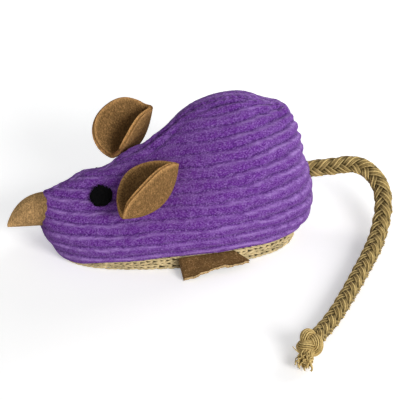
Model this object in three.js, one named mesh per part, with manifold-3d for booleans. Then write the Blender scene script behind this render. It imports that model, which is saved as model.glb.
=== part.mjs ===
// Catnip mouse: a stuffed corduroy toy with felt ears, nose and feet, a knitted jute base
// and a braided rope tail that ends in a knot and a frayed tuft.
// Millimetres, +Z up, nose towards -X, tail towards +X, the mouse's left flank towards -Y.
// The origin is the middle of the flat underside of the base.

import * as THREE from 'three';
import { mergeVertices } from 'three/addons/utils/BufferGeometryUtils.js';
import Module from 'manifold-3d';

const wasm = await Module();
wasm.setup();

// Stuffed body
const SNOUT_REACH = 45.4; // origin to the front of the snout
const RUMP_REACH = 45.5; // origin to the back of the rump
const BODY_WIDTH = 50.6; // across the flanks at their widest
const BODY_HEIGHT = 49.6; // floor to the top of the back
const WIDEST_X = 8; // station of the widest section
const FLANK_HEIGHT = 16; // floor to the widest line of the rear flanks

// Crown line: share of the way to the snout (negative) or to the rump, share of the body's height
const CROWN_LINE = [
  [-1, 0.44], [-0.84, 0.504], [-0.68, 0.56], [-0.55, 0.58], [-0.41, 0.64], [-0.21, 0.726],
  [-0.06, 0.825], [0.06, 0.92], [0.18, 0.98], [0.47, 1], [0.68, 0.927], [0.82, 0.875],
  [0.9, 0.715], [0.95, 0.5], [1, 0.44],
];

// Widest line: the same stations, share of the flank height
const WIDEST_LINE = [[-1, 0.84], [-0.7, 0.6], [-0.4, 0.63], [0, 0.84], [0.4, 1.12], [0.78, 0.92], [1, 0.56]];

// Arch of the sections: a ridge at the head's seam, rounder over the back
const ARCH_LINE = [[-1, 1.25], [-0.3, 1.25], [0.1, 1.45], [0.45, 1.7], [0.8, 1.7], [1, 1.4]];

// Plan curves of the body and base, as exponents of (1 - r^fullness)^(1 / bluntness)
const SNOUT_CURVE = { fullness: 1.5, bluntness: 2.3 };
const BASE_FRONT_CURVE = { fullness: 1.5, bluntness: 3.2 };
const BASE_REAR_CURVE = { fullness: 2.6, bluntness: 2.9 };
const RUMP_CURVE = { fullness: 2.2, bluntness: 2.35 };

// Corduroy
const FABRIC = 1.4; // thickness of the cloth with its pile
const WALE_PITCH = 4; // from rib to rib
const WALE_DEPTH = 0.7; // from groove to rib
const RIB_START = 0.3; // share of a pitch where a rib's flat top starts
const RIB_END = 0.7; // share of a pitch where it ends
const WALE_CLIMB = 8; // how far the upper wales climb towards the rump
const WALE_CLIMB_START = -5; // station where they start to climb
const WALE_CLIMB_REACH = 22; // distance up from the base seam over which the climb grows

// Knitted base
const BASE_WIDTH = 44.8;
const BASE_THICKNESS = 4.5;
const BASE_EDGE = 1.2; // rounding of the base's rim
const BASE_FRONT_SETBACK = 5.4; // base behind the snout
const BASE_REAR_SETBACK = 7; // base inside the rump

// Top of the base: share of the way to its front (negative) or rear, share of its thickness
const BASE_TOP_LINE = [[-1, 0.45], [-0.6, 0.6], [-0.1, 1], [0.5, 1], [1, 0.8]];

// Felt pieces
const FELT = 1.3;
const NOSE_LENGTH = 11.5; // beyond the snout
const NOSE_ROOT = 5; // length inside the snout's curve, trimmed to the snout
const NOSE_HEIGHT = 12.2;
const NOSE_WIDTH = 9.5;
const NOSE_Z = 9.4; // underside of the nose at its root
const NOSE_RISE = 1.2; // underside at the tip above the root
const NOSE_CURVE = { fullness: 3, bluntness: 1.3 }; // outline from root to tip
const NOSE_TIP = 0.2; // size of the blunt tip, as a share of the root
const EYE_DIAMETER = 7.4;
const EYE_THICKNESS = 0.9;
const EYE_X = -27;
const LEFT_EYE_OUT = 7.8; // from the middle seam to the eye
const RIGHT_EYE_OUT = 11.2;
const EAR_LENGTH = 32.3; // felt oval from lip to lip, before it is folded
const EAR_CHORD = 24.3; // from tip to tip of the folded oval
const EAR_BOW = 6; // how far the tips stand forward of the sewn fold
const EAR_FOLD_RADIUS = 2.6;
const EAR_SPREAD = 23; // degrees from the ear's middle plane to each lobe
const EAR_LIFT = 2.4; // middle of the felt above the cloth at the root
const EAR_TAPER = 0.66; // exponent of the oval's outline: 0.5 is round, 1 is pointed at the tips

// Set of each ear: place of its root along the body and out from the middle, then in degrees
// the rise of its fold to the rear, its lean outwards and the turn of its front outwards,
// and how far its fold is off the oval's middle
const LEFT_EAR_SET = { x: -8.9, out: 16.6, slope: 30, lean: -22, turn: 22, offset: 0 };
const RIGHT_EAR_SET = { x: -9.6, out: 13, slope: 24, lean: 14, turn: -39, offset: 2.1 };

const FOOT_LENGTH = 23;
const FOOT_X = 6.6;
const FOOT_FRONT_REACH = 7; // beyond the base at the front corner
const FOOT_WAIST_X = -1.5; // bend of the lower edge, from the foot's middle
const FOOT_WAIST_REACH = 4.8;
const FOOT_REAR_REACH = 3.2;
const FOOT_REAR_SLANT = 4.4; // how far the rear point stands behind the seam
const FOOT_CORNER = 1; // rounding of the front corner
const FOOT_ROOT_Z = 4.2; // upper face of the foot at the base
const FOOT_TUCK = 2; // length under the body that is trimmed to the base

// Rope tail
const TAIL_DIAMETER = 6;
const TAIL_Z = 18; // height of the tail where it leaves the rump
const TAIL_STUB = 0.8; // sewn end beyond the rump
const TAIL_INSIDE = 10; // sewn end inside the rump
const TAIL_SIDES = 10;
const TAIL_STEPS = 26;
const KNOT_DIAMETER = 9.4;
const KNOT_WRAP = 3.4; // diameter of the wraps round the knot
const KNOT_SOCKET = 2.9; // rope end to the middle of the knot
const TUFT_LENGTH = 6.2; // frayed yarns beyond the knot
const TUFT_YARNS = 11;
const TUFT_FAN = 27; // degrees from the tuft's middle to its outermost yarn
const TUFT_YARN = 2; // diameter of a bundle of yarn at its root

// Route of the tail: beyond the rump, to the side, above the floor
const TAIL_ROUTE = [
  [4.2, 0, TAIL_Z], [7.1, 0, 17.9], [10.4, 0, 17.9], [13.5, 0, 17.9], [16.2, -0.3, 17.4],
  [18.7, -1.2, 16.4], [20.6, -2.7, 15], [21.9, -4.6, 13.6], [22.6, -7, 12], [22.7, -9.6, 10.3],
  [22.2, -12, 8.9], [21.3, -14.8, 7.2], [19.9, -17.7, 5.5], [18.1, -21.1, 4.1], [15.1, -26.6, 3.3],
  [10.9, -33.3, 3.2], [5.9, -40.8, 3.2], [0.2, -49.2, 3.2], [-4.3, -55.6, 3.2], [-8.7, -61.6, 3.2],
  [-12.8, -66.6, 3.2], [-16.7, -71.1, 3.5], [-20.2, -75.4, 4.6],
];
const KNOT_PLACE = [-22.4, -77.6, 5];
const TUFT_AIM = [-0.45, -0.85, -0.25]; // way that the frayed end points

// Filling
const POUCH_DIAMETER = 26;
const POUCH_THICKNESS = 11;
const POUCH_X = 6;
const POUCH_Z = 24;

// Clearances
const CLEARANCE = 0.3; // between sewn or touching pieces
const FLOOR_GAP = 0.2; // feet above the floor

// Fineness of the soft forms
const BODY_STATIONS = 24;
const LINING = { stations: 14, rows: 10 };
const ROOM = { stations: 24, rows: 20 };
const SECTION_STEPS = 40;

const UP = new THREE.Vector3(0, 0, 1);
const point = (x, y, z) => new THREE.Vector3(x, y, z);

// Solids and meshes

function toSolid(geometry) {
  const bare = geometry.clone();
  bare.deleteAttribute('normal');
  bare.deleteAttribute('uv');
  const merged = mergeVertices(bare, 1e-4);
  const triangles = [];
  for (let t = 0; t < merged.index.count; t += 3) {
    const [a, b, c] = [0, 1, 2].map((corner) => merged.index.getX(t + corner));
    if (a !== b && b !== c && c !== a) triangles.push(a, b, c);
  }
  const vertProperties = new Float32Array(merged.attributes.position.array);
  return new wasm.Manifold(new wasm.Mesh({
    numProp: 3,
    vertProperties,
    triVerts: new Uint32Array(triangles),
  }));
}

function toGeometry(solid) {
  const mesh = solid.getMesh();
  const geometry = new THREE.BufferGeometry();
  geometry.setAttribute('position', new THREE.BufferAttribute(mesh.vertProperties, 3));
  geometry.setIndex(new THREE.BufferAttribute(mesh.triVerts, 1));
  geometry.computeVertexNormals();
  return geometry;
}

// Skin over closed rings of equal, even length; each end is closed across the ring
function loft(rings) {
  const size = rings[0].length;
  const index = [];
  const quad = (a, b, c, d) => index.push(a, b, c, a, c, d);
  for (let i = 0; i + 1 < rings.length; i += 1) {
    for (let c = 0; c < size; c += 1) {
      const next = (c + 1) % size;
      quad(i * size + c, (i + 1) * size + c, (i + 1) * size + next, i * size + next);
    }
  }
  const last = (rings.length - 1) * size;
  for (let c = 0; c + 1 < size / 2; c += 1) {
    const across = size - 1 - c;
    quad(c, c + 1, across - 1, across);
    quad(last + across, last + across - 1, last + c + 1, last + c);
  }
  const geometry = new THREE.BufferGeometry();
  geometry.setAttribute('position', new THREE.Float32BufferAttribute(
    rings.flat().flatMap((p) => [p.x, p.y, p.z]), 3));
  geometry.setIndex(index);
  return geometry;
}

const mirrorPoint = (p) => point(p.x, -p.y, p.z);

// Half a ring on the left side, closed by its mirror image
const mirroredRing = (half) => [...half, ...half.map(mirrorPoint).reverse()];

function boxSolid(low, high) {
  const size = high.clone().sub(low);
  const middle = low.clone().add(high).multiplyScalar(0.5);
  return toSolid(new THREE.BoxGeometry(size.x, size.y, size.z).translate(middle.x, middle.y, middle.z));
}

function rodSolid(from, to, radius, sides) {
  const axis = to.clone().sub(from);
  const middle = from.clone().add(to).multiplyScalar(0.5);
  const rod = new THREE.CylinderGeometry(radius, radius, axis.length(), sides);
  rod.applyQuaternion(new THREE.Quaternion().setFromUnitVectors(point(0, 1, 0), axis.normalize()));
  return toSolid(rod.translate(middle.x, middle.y, middle.z));
}

// Body form

// Smooth curve through keys of [place, value]
function profile(keys, place) {
  const slope = (k) => {
    const before = keys[Math.max(0, k - 1)];
    const after = keys[Math.min(keys.length - 1, k + 1)];
    return (after[1] - before[1]) / (after[0] - before[0]);
  };
  const clamped = THREE.MathUtils.clamp(place, keys[0][0], keys[keys.length - 1][0]);
  const next = Math.max(1, keys.findIndex((key) => key[0] >= clamped));
  const [x0, v0] = keys[next - 1];
  const [x1, v1] = keys[next];
  const span = x1 - x0;
  const t = (clamped - x0) / span;
  const rise = 3 * t ** 2 - 2 * t ** 3;
  return v0 * (1 - rise) + v1 * rise
    + span * (slope(next - 1) * t * (1 - t) ** 2 - slope(next) * t ** 2 * (1 - t));
}

// The body's outlines, drawn in by an inset; a negative inset gives room round the body
function bodyForm(inset) {
  return {
    inset,
    wide: {
      front: inset - SNOUT_REACH,
      rear: RUMP_REACH - inset,
      halfWidth: BODY_WIDTH / 2 - inset,
      frontCurve: SNOUT_CURVE,
      rearCurve: RUMP_CURVE,
    },
    seam: {
      front: BASE_FRONT_SETBACK + inset - SNOUT_REACH,
      rear: RUMP_REACH - BASE_REAR_SETBACK - inset,
      halfWidth: BASE_WIDTH / 2 - inset,
      frontCurve: BASE_FRONT_CURVE,
      rearCurve: BASE_REAR_CURVE,
    },
  };
}

function planHalfWidth(outline, x) {
  const curve = x < WIDEST_X ? outline.frontCurve : outline.rearCurve;
  const reach = x < WIDEST_X ? outline.front - WIDEST_X : outline.rear - WIDEST_X;
  const share = Math.min(1, (x - WIDEST_X) / reach);
  return outline.halfWidth * (1 - share ** curve.fullness) ** (1 / curve.bluntness);
}

// Station on one outline that corresponds to a station on another
function matchStation(x, from, to) {
  const side = x < WIDEST_X ? 'front' : 'rear';
  return WIDEST_X + (x - WIDEST_X) * (to[side] - WIDEST_X) / (from[side] - WIDEST_X);
}

const stationShare = (outline, x) => (x < 0 ? -x / outline.front : x / outline.rear);
const crownHeight = (form, x) => BODY_HEIGHT * profile(CROWN_LINE, stationShare(form.wide, x)) - form.inset;
const widestHeight = (form, x) => FLANK_HEIGHT * profile(WIDEST_LINE, stationShare(form.wide, x));
const archPower = (form, x) => profile(ARCH_LINE, stationShare(form.wide, x));
const baseTop = (form, x) => BASE_THICKNESS * profile(BASE_TOP_LINE, stationShare(form.seam, x));

const seamHeight = (form, x) => baseTop(form, x) + CLEARANCE + Math.min(0, form.inset);

// Left half of a cross-section, from the base seam up over the flank to the crown
function sectionCurve(form, x) {
  const width = planHalfWidth(form.wide, x);
  const seamX = matchStation(x, form.wide, form.seam);
  const seamWidth = planHalfWidth(form.seam, seamX);
  const seamZ = seamHeight(form, seamX);
  const crownZ = crownHeight(form, x);
  const widestZ = widestHeight(form, x);
  const power = 2 / archPower(form, x);
  const curve = [];
  for (let step = 0; step < SECTION_STEPS; step += 1) {
    const turn = step / SECTION_STEPS * Math.PI / 2;
    const out = Math.sin(turn);
    curve.push(point(
      THREE.MathUtils.lerp(seamX, x, out),
      -THREE.MathUtils.lerp(seamWidth, width, out),
      THREE.MathUtils.lerp(widestZ, seamZ, Math.cos(turn)),
    ));
  }
  for (let step = 0; step <= SECTION_STEPS; step += 1) {
    const turn = step / SECTION_STEPS * Math.PI / 2;
    curve.push(point(
      x,
      step === SECTION_STEPS ? 0 : -width * Math.cos(turn) ** power,
      THREE.MathUtils.lerp(widestZ, crownZ, Math.sin(turn) ** power),
    ));
  }
  return curve;
}

function curveLength(curve) {
  return curve.slice(1).reduce((sum, p, k) => sum + p.distanceTo(curve[k]), 0);
}

// Point at a distance along a curve, or the curve's end
function walk(curve, distance) {
  let left = distance;
  for (let k = 1; k < curve.length; k += 1) {
    const length = curve[k].distanceTo(curve[k - 1]);
    if (left <= length) return curve[k - 1].clone().lerp(curve[k], length > 0 ? left / length : 0);
    left -= length;
  }
  return curve[curve.length - 1].clone();
}

// Stations from snout to rump, closer together at the blunt ends
function bodyStations(outline, count) {
  const stations = [];
  for (let k = 0; k <= count; k += 1) {
    const share = (1 - Math.cos(k / count * Math.PI)) / 2;
    stations.push(THREE.MathUtils.lerp(outline.front, outline.rear, share));
  }
  return stations;
}

// Outward direction on a grid of the left side
function gridNormal(grid, i, j) {
  if (i === 0) return point(-1, 0, 0);
  if (i === grid.length - 1) return point(1, 0, 0);
  const rows = grid[i];
  const along = grid[i + 1][j].clone().sub(grid[i - 1][j]);
  const up = rows[Math.min(j + 1, rows.length - 1)].clone().sub(rows[Math.max(j - 1, 0)]);
  const normal = along.cross(up);
  return normal.lengthSq() > 1e-6 ? normal.normalize() : UP.clone();
}

// How far a wale that starts at a distance up from the base seam has climbed at a station
function waleClimb(x, arc) {
  const share = THREE.MathUtils.clamp((x - WALE_CLIMB_START) / (RUMP_REACH - WALE_CLIMB_START), 0, 1);
  return WALE_CLIMB * share ** 1.5 * (1 - Math.exp(-((arc / WALE_CLIMB_REACH) ** 2)));
}

// Ribbed outside of the cloth: rows follow the wales, which start at a steady pitch up from the base seam
function ribbedBody(form) {
  const stations = bodyStations(form.wide, BODY_STATIONS);
  const curves = stations.map((x) => sectionCurve(form, x));
  const longest = Math.max(...curves.map(curveLength));
  const rows = [];
  for (let wale = 0; wale * WALE_PITCH < longest; wale += 1) {
    rows.push({ arc: wale * WALE_PITCH, relief: -WALE_DEPTH / 2 });
    rows.push({ arc: (wale + RIB_START) * WALE_PITCH, relief: WALE_DEPTH / 2 });
    rows.push({ arc: (wale + RIB_END) * WALE_PITCH, relief: WALE_DEPTH / 2 });
  }
  const grid = curves.map((curve, i) => rows.map(
    (row) => walk(curve, row.arc + waleClimb(stations[i], row.arc)),
  ));
  const rings = grid.map((column, i) => mirroredRing(column.map((place, j) => {
    if (place.y === 0 && i > 0 && i < grid.length - 1) return place;
    const raised = place.clone().addScaledVector(gridNormal(grid, i, j), rows[j].relief);
    raised.y = Math.min(0, raised.y);
    return raised;
  })));
  return toSolid(loft(rings));
}

// Smooth body with few faces; a drop carries its sides straight down past the seam
function smoothBody(form, fineness, drop = 0) {
  const rings = bodyStations(form.wide, fineness.stations).map((x) => {
    const curve = sectionCurve(form, x);
    const length = curveLength(curve);
    const half = [];
    for (let row = 0; row <= fineness.rows; row += 1) half.push(walk(curve, row / fineness.rows * length));
    if (drop > 0) half.unshift(half[0].clone().addScaledVector(UP, -drop));
    return mirroredRing(half);
  });
  return toSolid(loft(rings));
}

// Height of the smooth cloth above the widest line, and its outward direction
function clothHeight(x, y) {
  const form = bodyForm(0);
  const power = archPower(form, x);
  const share = Math.abs(y) / planHalfWidth(form.wide, x);
  return THREE.MathUtils.lerp(widestHeight(form, x), crownHeight(form, x), (1 - share ** power) ** (1 / power));
}

function clothNormal(x, y) {
  const reach = 0.5;
  const slopeX = (clothHeight(x + reach, y) - clothHeight(x - reach, y)) / (2 * reach);
  const slopeY = (clothHeight(x, y + reach) - clothHeight(x, y - reach)) / (2 * reach);
  return point(-slopeX, -slopeY, 1).normalize();
}

const clothRelief = WALE_DEPTH / 2 + CLEARANCE;
const bodyRoom = smoothBody(bodyForm(-clothRelief), ROOM);

// Sewn end of the tail

const tailRadius = TAIL_DIAMETER / 2;
const rootStart = point(RUMP_REACH - TAIL_INSIDE, 0, TAIL_Z);
const rootEnd = point(RUMP_REACH + TAIL_STUB, 0, TAIL_Z);
const tailHole = rodSolid(rootStart, rootEnd.clone().add(point(TAIL_INSIDE, 0, 0)),
  tailRadius + CLEARANCE, TAIL_SIDES * 2);

// Wraps of rope round a core, with sockets for what goes into the knot
function knotSolid(middle, axis, sockets) {
  const wrap = KNOT_WRAP / 2;
  const ring = KNOT_DIAMETER / 2 - wrap;
  const side = axis.clone().cross(UP).normalize();
  let knot = toSolid(new THREE.SphereGeometry(ring + wrap / 2, 12, 8).translate(middle.x, middle.y, middle.z));
  const leans = [[UP, 32], [UP, -28], [side, 35]];
  for (const [about, degrees] of leans) {
    const lean = axis.clone().applyAxisAngle(about, THREE.MathUtils.degToRad(degrees));
    const turn = new THREE.Quaternion().setFromUnitVectors(UP, lean);
    const torus = new THREE.TorusGeometry(ring, wrap, 8, 16).applyQuaternion(turn);
    knot = knot.add(toSolid(torus.translate(middle.x, middle.y, middle.z)));
  }
  return sockets.reduce((solid, socket) => solid.subtract(socket), knot);
}

const anchorMiddle = rootStart.clone().add(point(-KNOT_SOCKET, 0, 0));
const anchorSocket = rodSolid(rootStart.clone().add(point(-CLEARANCE, 0, 0)), rootEnd,
  tailRadius + CLEARANCE, TAIL_SIDES * 2);
const tailAnchor = knotSolid(anchorMiddle, point(1, 0, 0), [anchorSocket]);
const tailRoot = rodSolid(rootStart, rootEnd, tailRadius, TAIL_SIDES);

// Cloth panels

const outside = ribbedBody(bodyForm(0));
const shell = outside.subtract(smoothBody(bodyForm(FABRIC), LINING, FABRIC * 2)).subtract(tailHole);
const roomLength = SNOUT_REACH + RUMP_REACH;

// Everything on one side of the middle seam
function sideRoom(side) {
  const inner = side * CLEARANCE / 2;
  const outer = side * BODY_WIDTH;
  return boxSolid(
    point(-roomLength, Math.min(inner, outer), -BODY_HEIGHT),
    point(roomLength, Math.max(inner, outer), BODY_HEIGHT * 2),
  );
}

const LEFT = -1;
const RIGHT = 1;
const leftPanel = shell.intersect(sideRoom(LEFT));
const rightPanel = shell.intersect(sideRoom(RIGHT));

// Knitted base with a rounded rim, thinner towards the snout

function baseSolid(growth) {
  const form = bodyForm(-growth);
  const stations = bodyStations(form.seam, BODY_STATIONS);
  return toSolid(loft(stations.map((x) => {
    const half = planHalfWidth(form.seam, x);
    const top = baseTop(form, x) + growth;
    const edge = Math.min(BASE_EDGE, top / 3);
    const inner = Math.max(0, half - edge);
    return mirroredRing([
      point(x, -inner, -growth),
      point(x, -half, edge - growth),
      point(x, -half, top - edge),
      point(x, -inner, top),
    ]);
  })));
}

const basePanel = baseSolid(0);
const baseRoom = baseSolid(CLEARANCE);

// Filling: two wads of fibre round a pouch of dried leaves

function pouchSolid(growth) {
  const radius = POUCH_DIAMETER / 2 + growth;
  const half = POUCH_THICKNESS / 2 + growth;
  const outline = new THREE.EllipseCurve(0, 0, radius, half, -Math.PI / 2, Math.PI / 2).getPoints(10);
  const lathe = new THREE.LatheGeometry(outline, 20).rotateX(Math.PI / 2);
  return toSolid(lathe.translate(POUCH_X, 0, POUCH_Z));
}

const pouchRoom = pouchSolid(CLEARANCE);
const filling = smoothBody(bodyForm(FABRIC + CLEARANCE), LINING)
  .subtract(pouchRoom)
  .subtract(tailHole)
  .subtract(toSolid(new THREE.SphereGeometry(KNOT_DIAMETER / 2 + CLEARANCE, 16, 12)
    .translate(anchorMiddle.x, anchorMiddle.y, anchorMiddle.z)));

function fillingBetween(lowX, highX) {
  return filling.intersect(boxSolid(
    point(lowX, -BODY_WIDTH, 0),
    point(highX, BODY_WIDTH, BODY_HEIGHT),
  ));
}

const headFilling = fillingBetween(-SNOUT_REACH, POUCH_X - CLEARANCE / 2);
const rumpFilling = fillingBetween(POUCH_X + CLEARANCE / 2, RUMP_REACH);

// Felt nose: a folded half disc, flat below and round above, that narrows to its tip

function noseSolid() {
  const stations = 9;
  const corners = 16;
  const rings = [];
  for (let k = 0; k <= stations; k += 1) {
    const share = 1 - (k / stations) ** 2;
    const x = -SNOUT_REACH - NOSE_LENGTH * share + NOSE_ROOT * (1 - share);
    const size = Math.max(NOSE_TIP, (1 - share ** NOSE_CURVE.fullness) ** (1 / NOSE_CURVE.bluntness));
    const ring = [];
    for (let c = 0; c < corners; c += 1) {
      const turn = ((c + 0.5) / corners) * Math.PI * 2 - Math.PI / 2;
      ring.push(point(
        x,
        -NOSE_WIDTH / 2 * size * Math.cos(turn),
        NOSE_Z + NOSE_RISE * share + NOSE_HEIGHT / 2 * size * (1 + Math.sin(turn)),
      ));
    }
    rings.push(ring);
  }
  return toSolid(loft(rings)).subtract(bodyRoom);
}

// Eyes: low domes of black felt, hollowed to the curve of the head

function eyeSolid(y) {
  const normal = clothNormal(EYE_X, y);
  const radius = EYE_DIAMETER / 2;
  const crown = clothRelief + EYE_THICKNESS;
  const outline = [
    [0, -radius], [radius, -radius], [radius, crown - EYE_THICKNESS / 2], [radius * 0.75, crown], [0, crown],
  ].map(([r, h]) => new THREE.Vector2(r, h));
  const dome = new THREE.LatheGeometry(outline, 18);
  dome.applyQuaternion(new THREE.Quaternion().setFromUnitVectors(point(0, 1, 0), normal));
  dome.translate(EYE_X, y, clothHeight(EYE_X, y));
  return toSolid(dome).subtract(bodyRoom);
}

// Ears: felt ovals folded into a cup, sewn on along the middle of the fold

function earGeometry(offset) {
  const stations = 14;
  const rows = 10;
  const spread = THREE.MathUtils.degToRad(EAR_SPREAD);
  const tipShare = 0.985;
  const place = (p, v) => {
    const fold = EAR_FOLD_RADIUS * (1 - Math.exp(-Math.abs(v) / EAR_FOLD_RADIUS));
    const across = Math.abs(v) * Math.sin(spread) + fold * (1 - Math.sin(spread));
    const open = (Math.abs(v) - fold) * Math.cos(spread);
    return point(p * EAR_CHORD / 2, Math.sign(v) * across, EAR_BOW * p ** 2 + open);
  };
  const lobe = (p, share) => (EAR_LENGTH / 2 * share + offset * Math.abs(share)) * (1 - p ** 2) ** EAR_TAPER;
  const rings = [];
  for (let i = 0; i <= stations; i += 1) {
    const p = tipShare * Math.sin((i / stations - 0.5) * Math.PI);
    const inside = [];
    const outsideFace = [];
    for (let j = 0; j <= rows; j += 1) {
      const v = lobe(p, j / rows * 2 - 1);
      const nudge = 0.01;
      const along = place(p + nudge, v).sub(place(p - nudge, v));
      const over = place(p, v + nudge).sub(place(p, v - nudge));
      const normal = along.cross(over).normalize();
      inside.push(place(p, v).addScaledVector(normal, FELT / 2));
      outsideFace.push(place(p, v).addScaledVector(normal, -FELT / 2));
    }
    rings.push([...inside, ...outsideFace.reverse()]);
  }
  return loft(rings);
}

function earRoot(side, set) {
  const y = side * set.out;
  const normal = clothNormal(set.x, y);
  return point(set.x, y, clothHeight(set.x, y)).addScaledVector(normal, EAR_LIFT);
}

function earSolid(side, set) {
  const [lean, slope, turn] = [set.lean, set.slope, set.turn].map(THREE.MathUtils.degToRad);
  const stance = new THREE.Euler(-side * lean, -slope, -side * turn, 'ZYX');
  const root = earRoot(side, set);
  const ear = earGeometry(set.offset).applyQuaternion(new THREE.Quaternion().setFromEuler(stance));
  return toSolid(ear.translate(root.x, root.y, root.z)).subtract(bodyRoom);
}

// Feet: felt flaps sewn in between body and base, wider in front, down to the floor

const footHingeY = planHalfWidth(bodyForm(0).seam, FOOT_X) + CLEARANCE;

function footSolid(side) {
  const half = FOOT_LENGTH / 2;
  const outline = new THREE.Shape();
  outline.moveTo(-half, -FOOT_TUCK);
  outline.lineTo(half - FOOT_REAR_SLANT, -FOOT_TUCK);
  outline.lineTo(half - FOOT_REAR_SLANT, 0);
  outline.lineTo(half, FOOT_REAR_REACH);
  outline.lineTo(FOOT_WAIST_X, FOOT_WAIST_REACH);
  outline.lineTo(-half + FOOT_CORNER, FOOT_FRONT_REACH);
  outline.quadraticCurveTo(-half, FOOT_FRONT_REACH, -half, FOOT_FRONT_REACH - FOOT_CORNER);
  outline.closePath();
  const tilt = Math.asin((FOOT_ROOT_Z - FELT - FLOOR_GAP) / FOOT_FRONT_REACH);
  const flap = new THREE.ExtrudeGeometry(outline, { depth: FELT, bevelEnabled: false, curveSegments: 4 });
  flap.translate(0, 0, -FELT).rotateX(-tilt).translate(FOOT_X, footHingeY, FOOT_ROOT_Z);
  const foot = toSolid(flap).subtract(baseRoom).subtract(bodyRoom);
  return side === RIGHT ? foot : toSolid(mirrored(toGeometry(foot)));
}

function mirrored(geometry) {
  const copy = geometry.clone().scale(1, -1, 1);
  const index = copy.index.array;
  for (let t = 0; t < index.length; t += 3) [index[t + 1], index[t + 2]] = [index[t + 2], index[t + 1]];
  return copy;
}

// Tail: rope, knot and frayed end

const besideRump = ([x, y, z]) => point(RUMP_REACH + x, y, z);
const tailPivot = besideRump(TAIL_ROUTE[0]);
const knotMiddle = besideRump(KNOT_PLACE);
const tailPath = new THREE.CatmullRomCurve3(TAIL_ROUTE.map(besideRump));
const tailEnd = tailPath.getPoint(1);
const knotAxis = knotMiddle.clone().sub(tailEnd).normalize();
const tuftAxis = point(...TUFT_AIM).normalize();

function tailCord() {
  const section = new THREE.Shape();
  for (let c = 0; c < TAIL_SIDES; c += 1) {
    const turn = c / TAIL_SIDES * Math.PI * 2;
    const corner = [tailRadius * Math.cos(turn), tailRadius * Math.sin(turn)];
    if (c === 0) section.moveTo(...corner);
    else section.lineTo(...corner);
  }
  section.closePath();
  const rope = new THREE.ExtrudeGeometry(section, { steps: TAIL_STEPS, extrudePath: tailPath });
  const roundEnd = new THREE.SphereGeometry(tailRadius, TAIL_SIDES, 6);
  return toSolid(rope).add(toSolid(roundEnd.translate(tailPivot.x, tailPivot.y, tailPivot.z)));
}

const tuftCore = tailRadius * 0.8;
const tuftStart = knotMiddle.clone().addScaledVector(tuftAxis, KNOT_SOCKET);

function tailKnot() {
  const ropeSocket = rodSolid(tailEnd.clone().addScaledVector(knotAxis, CLEARANCE),
    tailEnd.clone().addScaledVector(knotAxis, -KNOT_DIAMETER), tailRadius + CLEARANCE, TAIL_SIDES * 2);
  const tuftSocket = rodSolid(tuftStart.clone().addScaledVector(tuftAxis, -CLEARANCE),
    tuftStart.clone().addScaledVector(tuftAxis, KNOT_DIAMETER), tuftCore + CLEARANCE, TAIL_SIDES * 2);
  return knotSolid(knotMiddle, knotAxis, [ropeSocket, tuftSocket]);
}

// Yarn ends fan out of a short core beyond the knot, and stay above the floor
function tailTuft() {
  const coreEnd = knotMiddle.clone().addScaledVector(tuftAxis, KNOT_DIAMETER / 2 + 1.5);
  let tuft = rodSolid(tuftStart, coreEnd, tuftCore, 10);
  const fan = THREE.MathUtils.degToRad(TUFT_FAN);
  const goldenTurn = Math.PI * (3 - Math.sqrt(5));
  for (let yarn = 0; yarn < TUFT_YARNS; yarn += 1) {
    const share = Math.sqrt((yarn + 0.5) / TUFT_YARNS);
    const aim = tuftAxis.clone().applyAxisAngle(UP, fan * share * Math.cos(yarn * goldenTurn));
    aim.z = Math.max(aim.z, -0.22) + 0.3 * share * Math.sin(yarn * goldenTurn) ** 2;
    const length = TUFT_LENGTH * (1 - 0.25 * share);
    const strand = new THREE.CylinderGeometry(TUFT_YARN / 3, TUFT_YARN / 2, length, 6);
    strand.translate(0, length / 2, 0);
    strand.applyQuaternion(new THREE.Quaternion().setFromUnitVectors(point(0, 1, 0), aim.normalize()));
    tuft = tuft.add(toSolid(strand.translate(coreEnd.x, coreEnd.y, coreEnd.z)
      .translate(-aim.x, -aim.y, -aim.z)));
  }
  return tuft;
}

// Assembly

const corduroy = { color: 0x5b2a8c, roughness: 0.95, metalness: 0 };
const felt = { color: 0x8a5f33, roughness: 0.95, metalness: 0 };
const noseFelt = { color: 0xa9783f, roughness: 0.95, metalness: 0 };
const blackFelt = { color: 0x0a0a0a, roughness: 1, metalness: 0 };
const jute = { color: 0xcdae78, roughness: 1, metalness: 0 };
const rope = { color: 0xa5874b, roughness: 0.9, metalness: 0 };
const fibre = { color: 0xe8e4da, roughness: 1, metalness: 0 };
const muslin = { color: 0xb9b08a, roughness: 1, metalness: 0 };

// A piece whose own origin is the point that it is sewn on or turns about
function piece(name, solid, finish, origin = point(0, 0, 0)) {
  const geometry = toGeometry(solid).translate(-origin.x, -origin.y, -origin.z);
  const mesh = new THREE.Mesh(geometry, new THREE.MeshStandardMaterial(finish));
  mesh.name = name;
  mesh.position.copy(origin);
  return mesh;
}

const body = new THREE.Group();
body.add(
  piece('left_body_panel', leftPanel, corduroy),
  piece('right_body_panel', rightPanel, corduroy),
  piece('base_panel', basePanel, jute),
  piece('nose', noseSolid(), noseFelt),
  piece('left_eye', eyeSolid(-LEFT_EYE_OUT), blackFelt),
  piece('right_eye', eyeSolid(RIGHT_EYE_OUT), blackFelt),
  piece('head_stuffing', headFilling, fibre),
  piece('rump_stuffing', rumpFilling, fibre),
  piece('catnip_pouch', pouchSolid(0), muslin),
  piece('tail_root', tailRoot, rope),
  piece('tail_anchor_knot', tailAnchor, rope),
);

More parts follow.
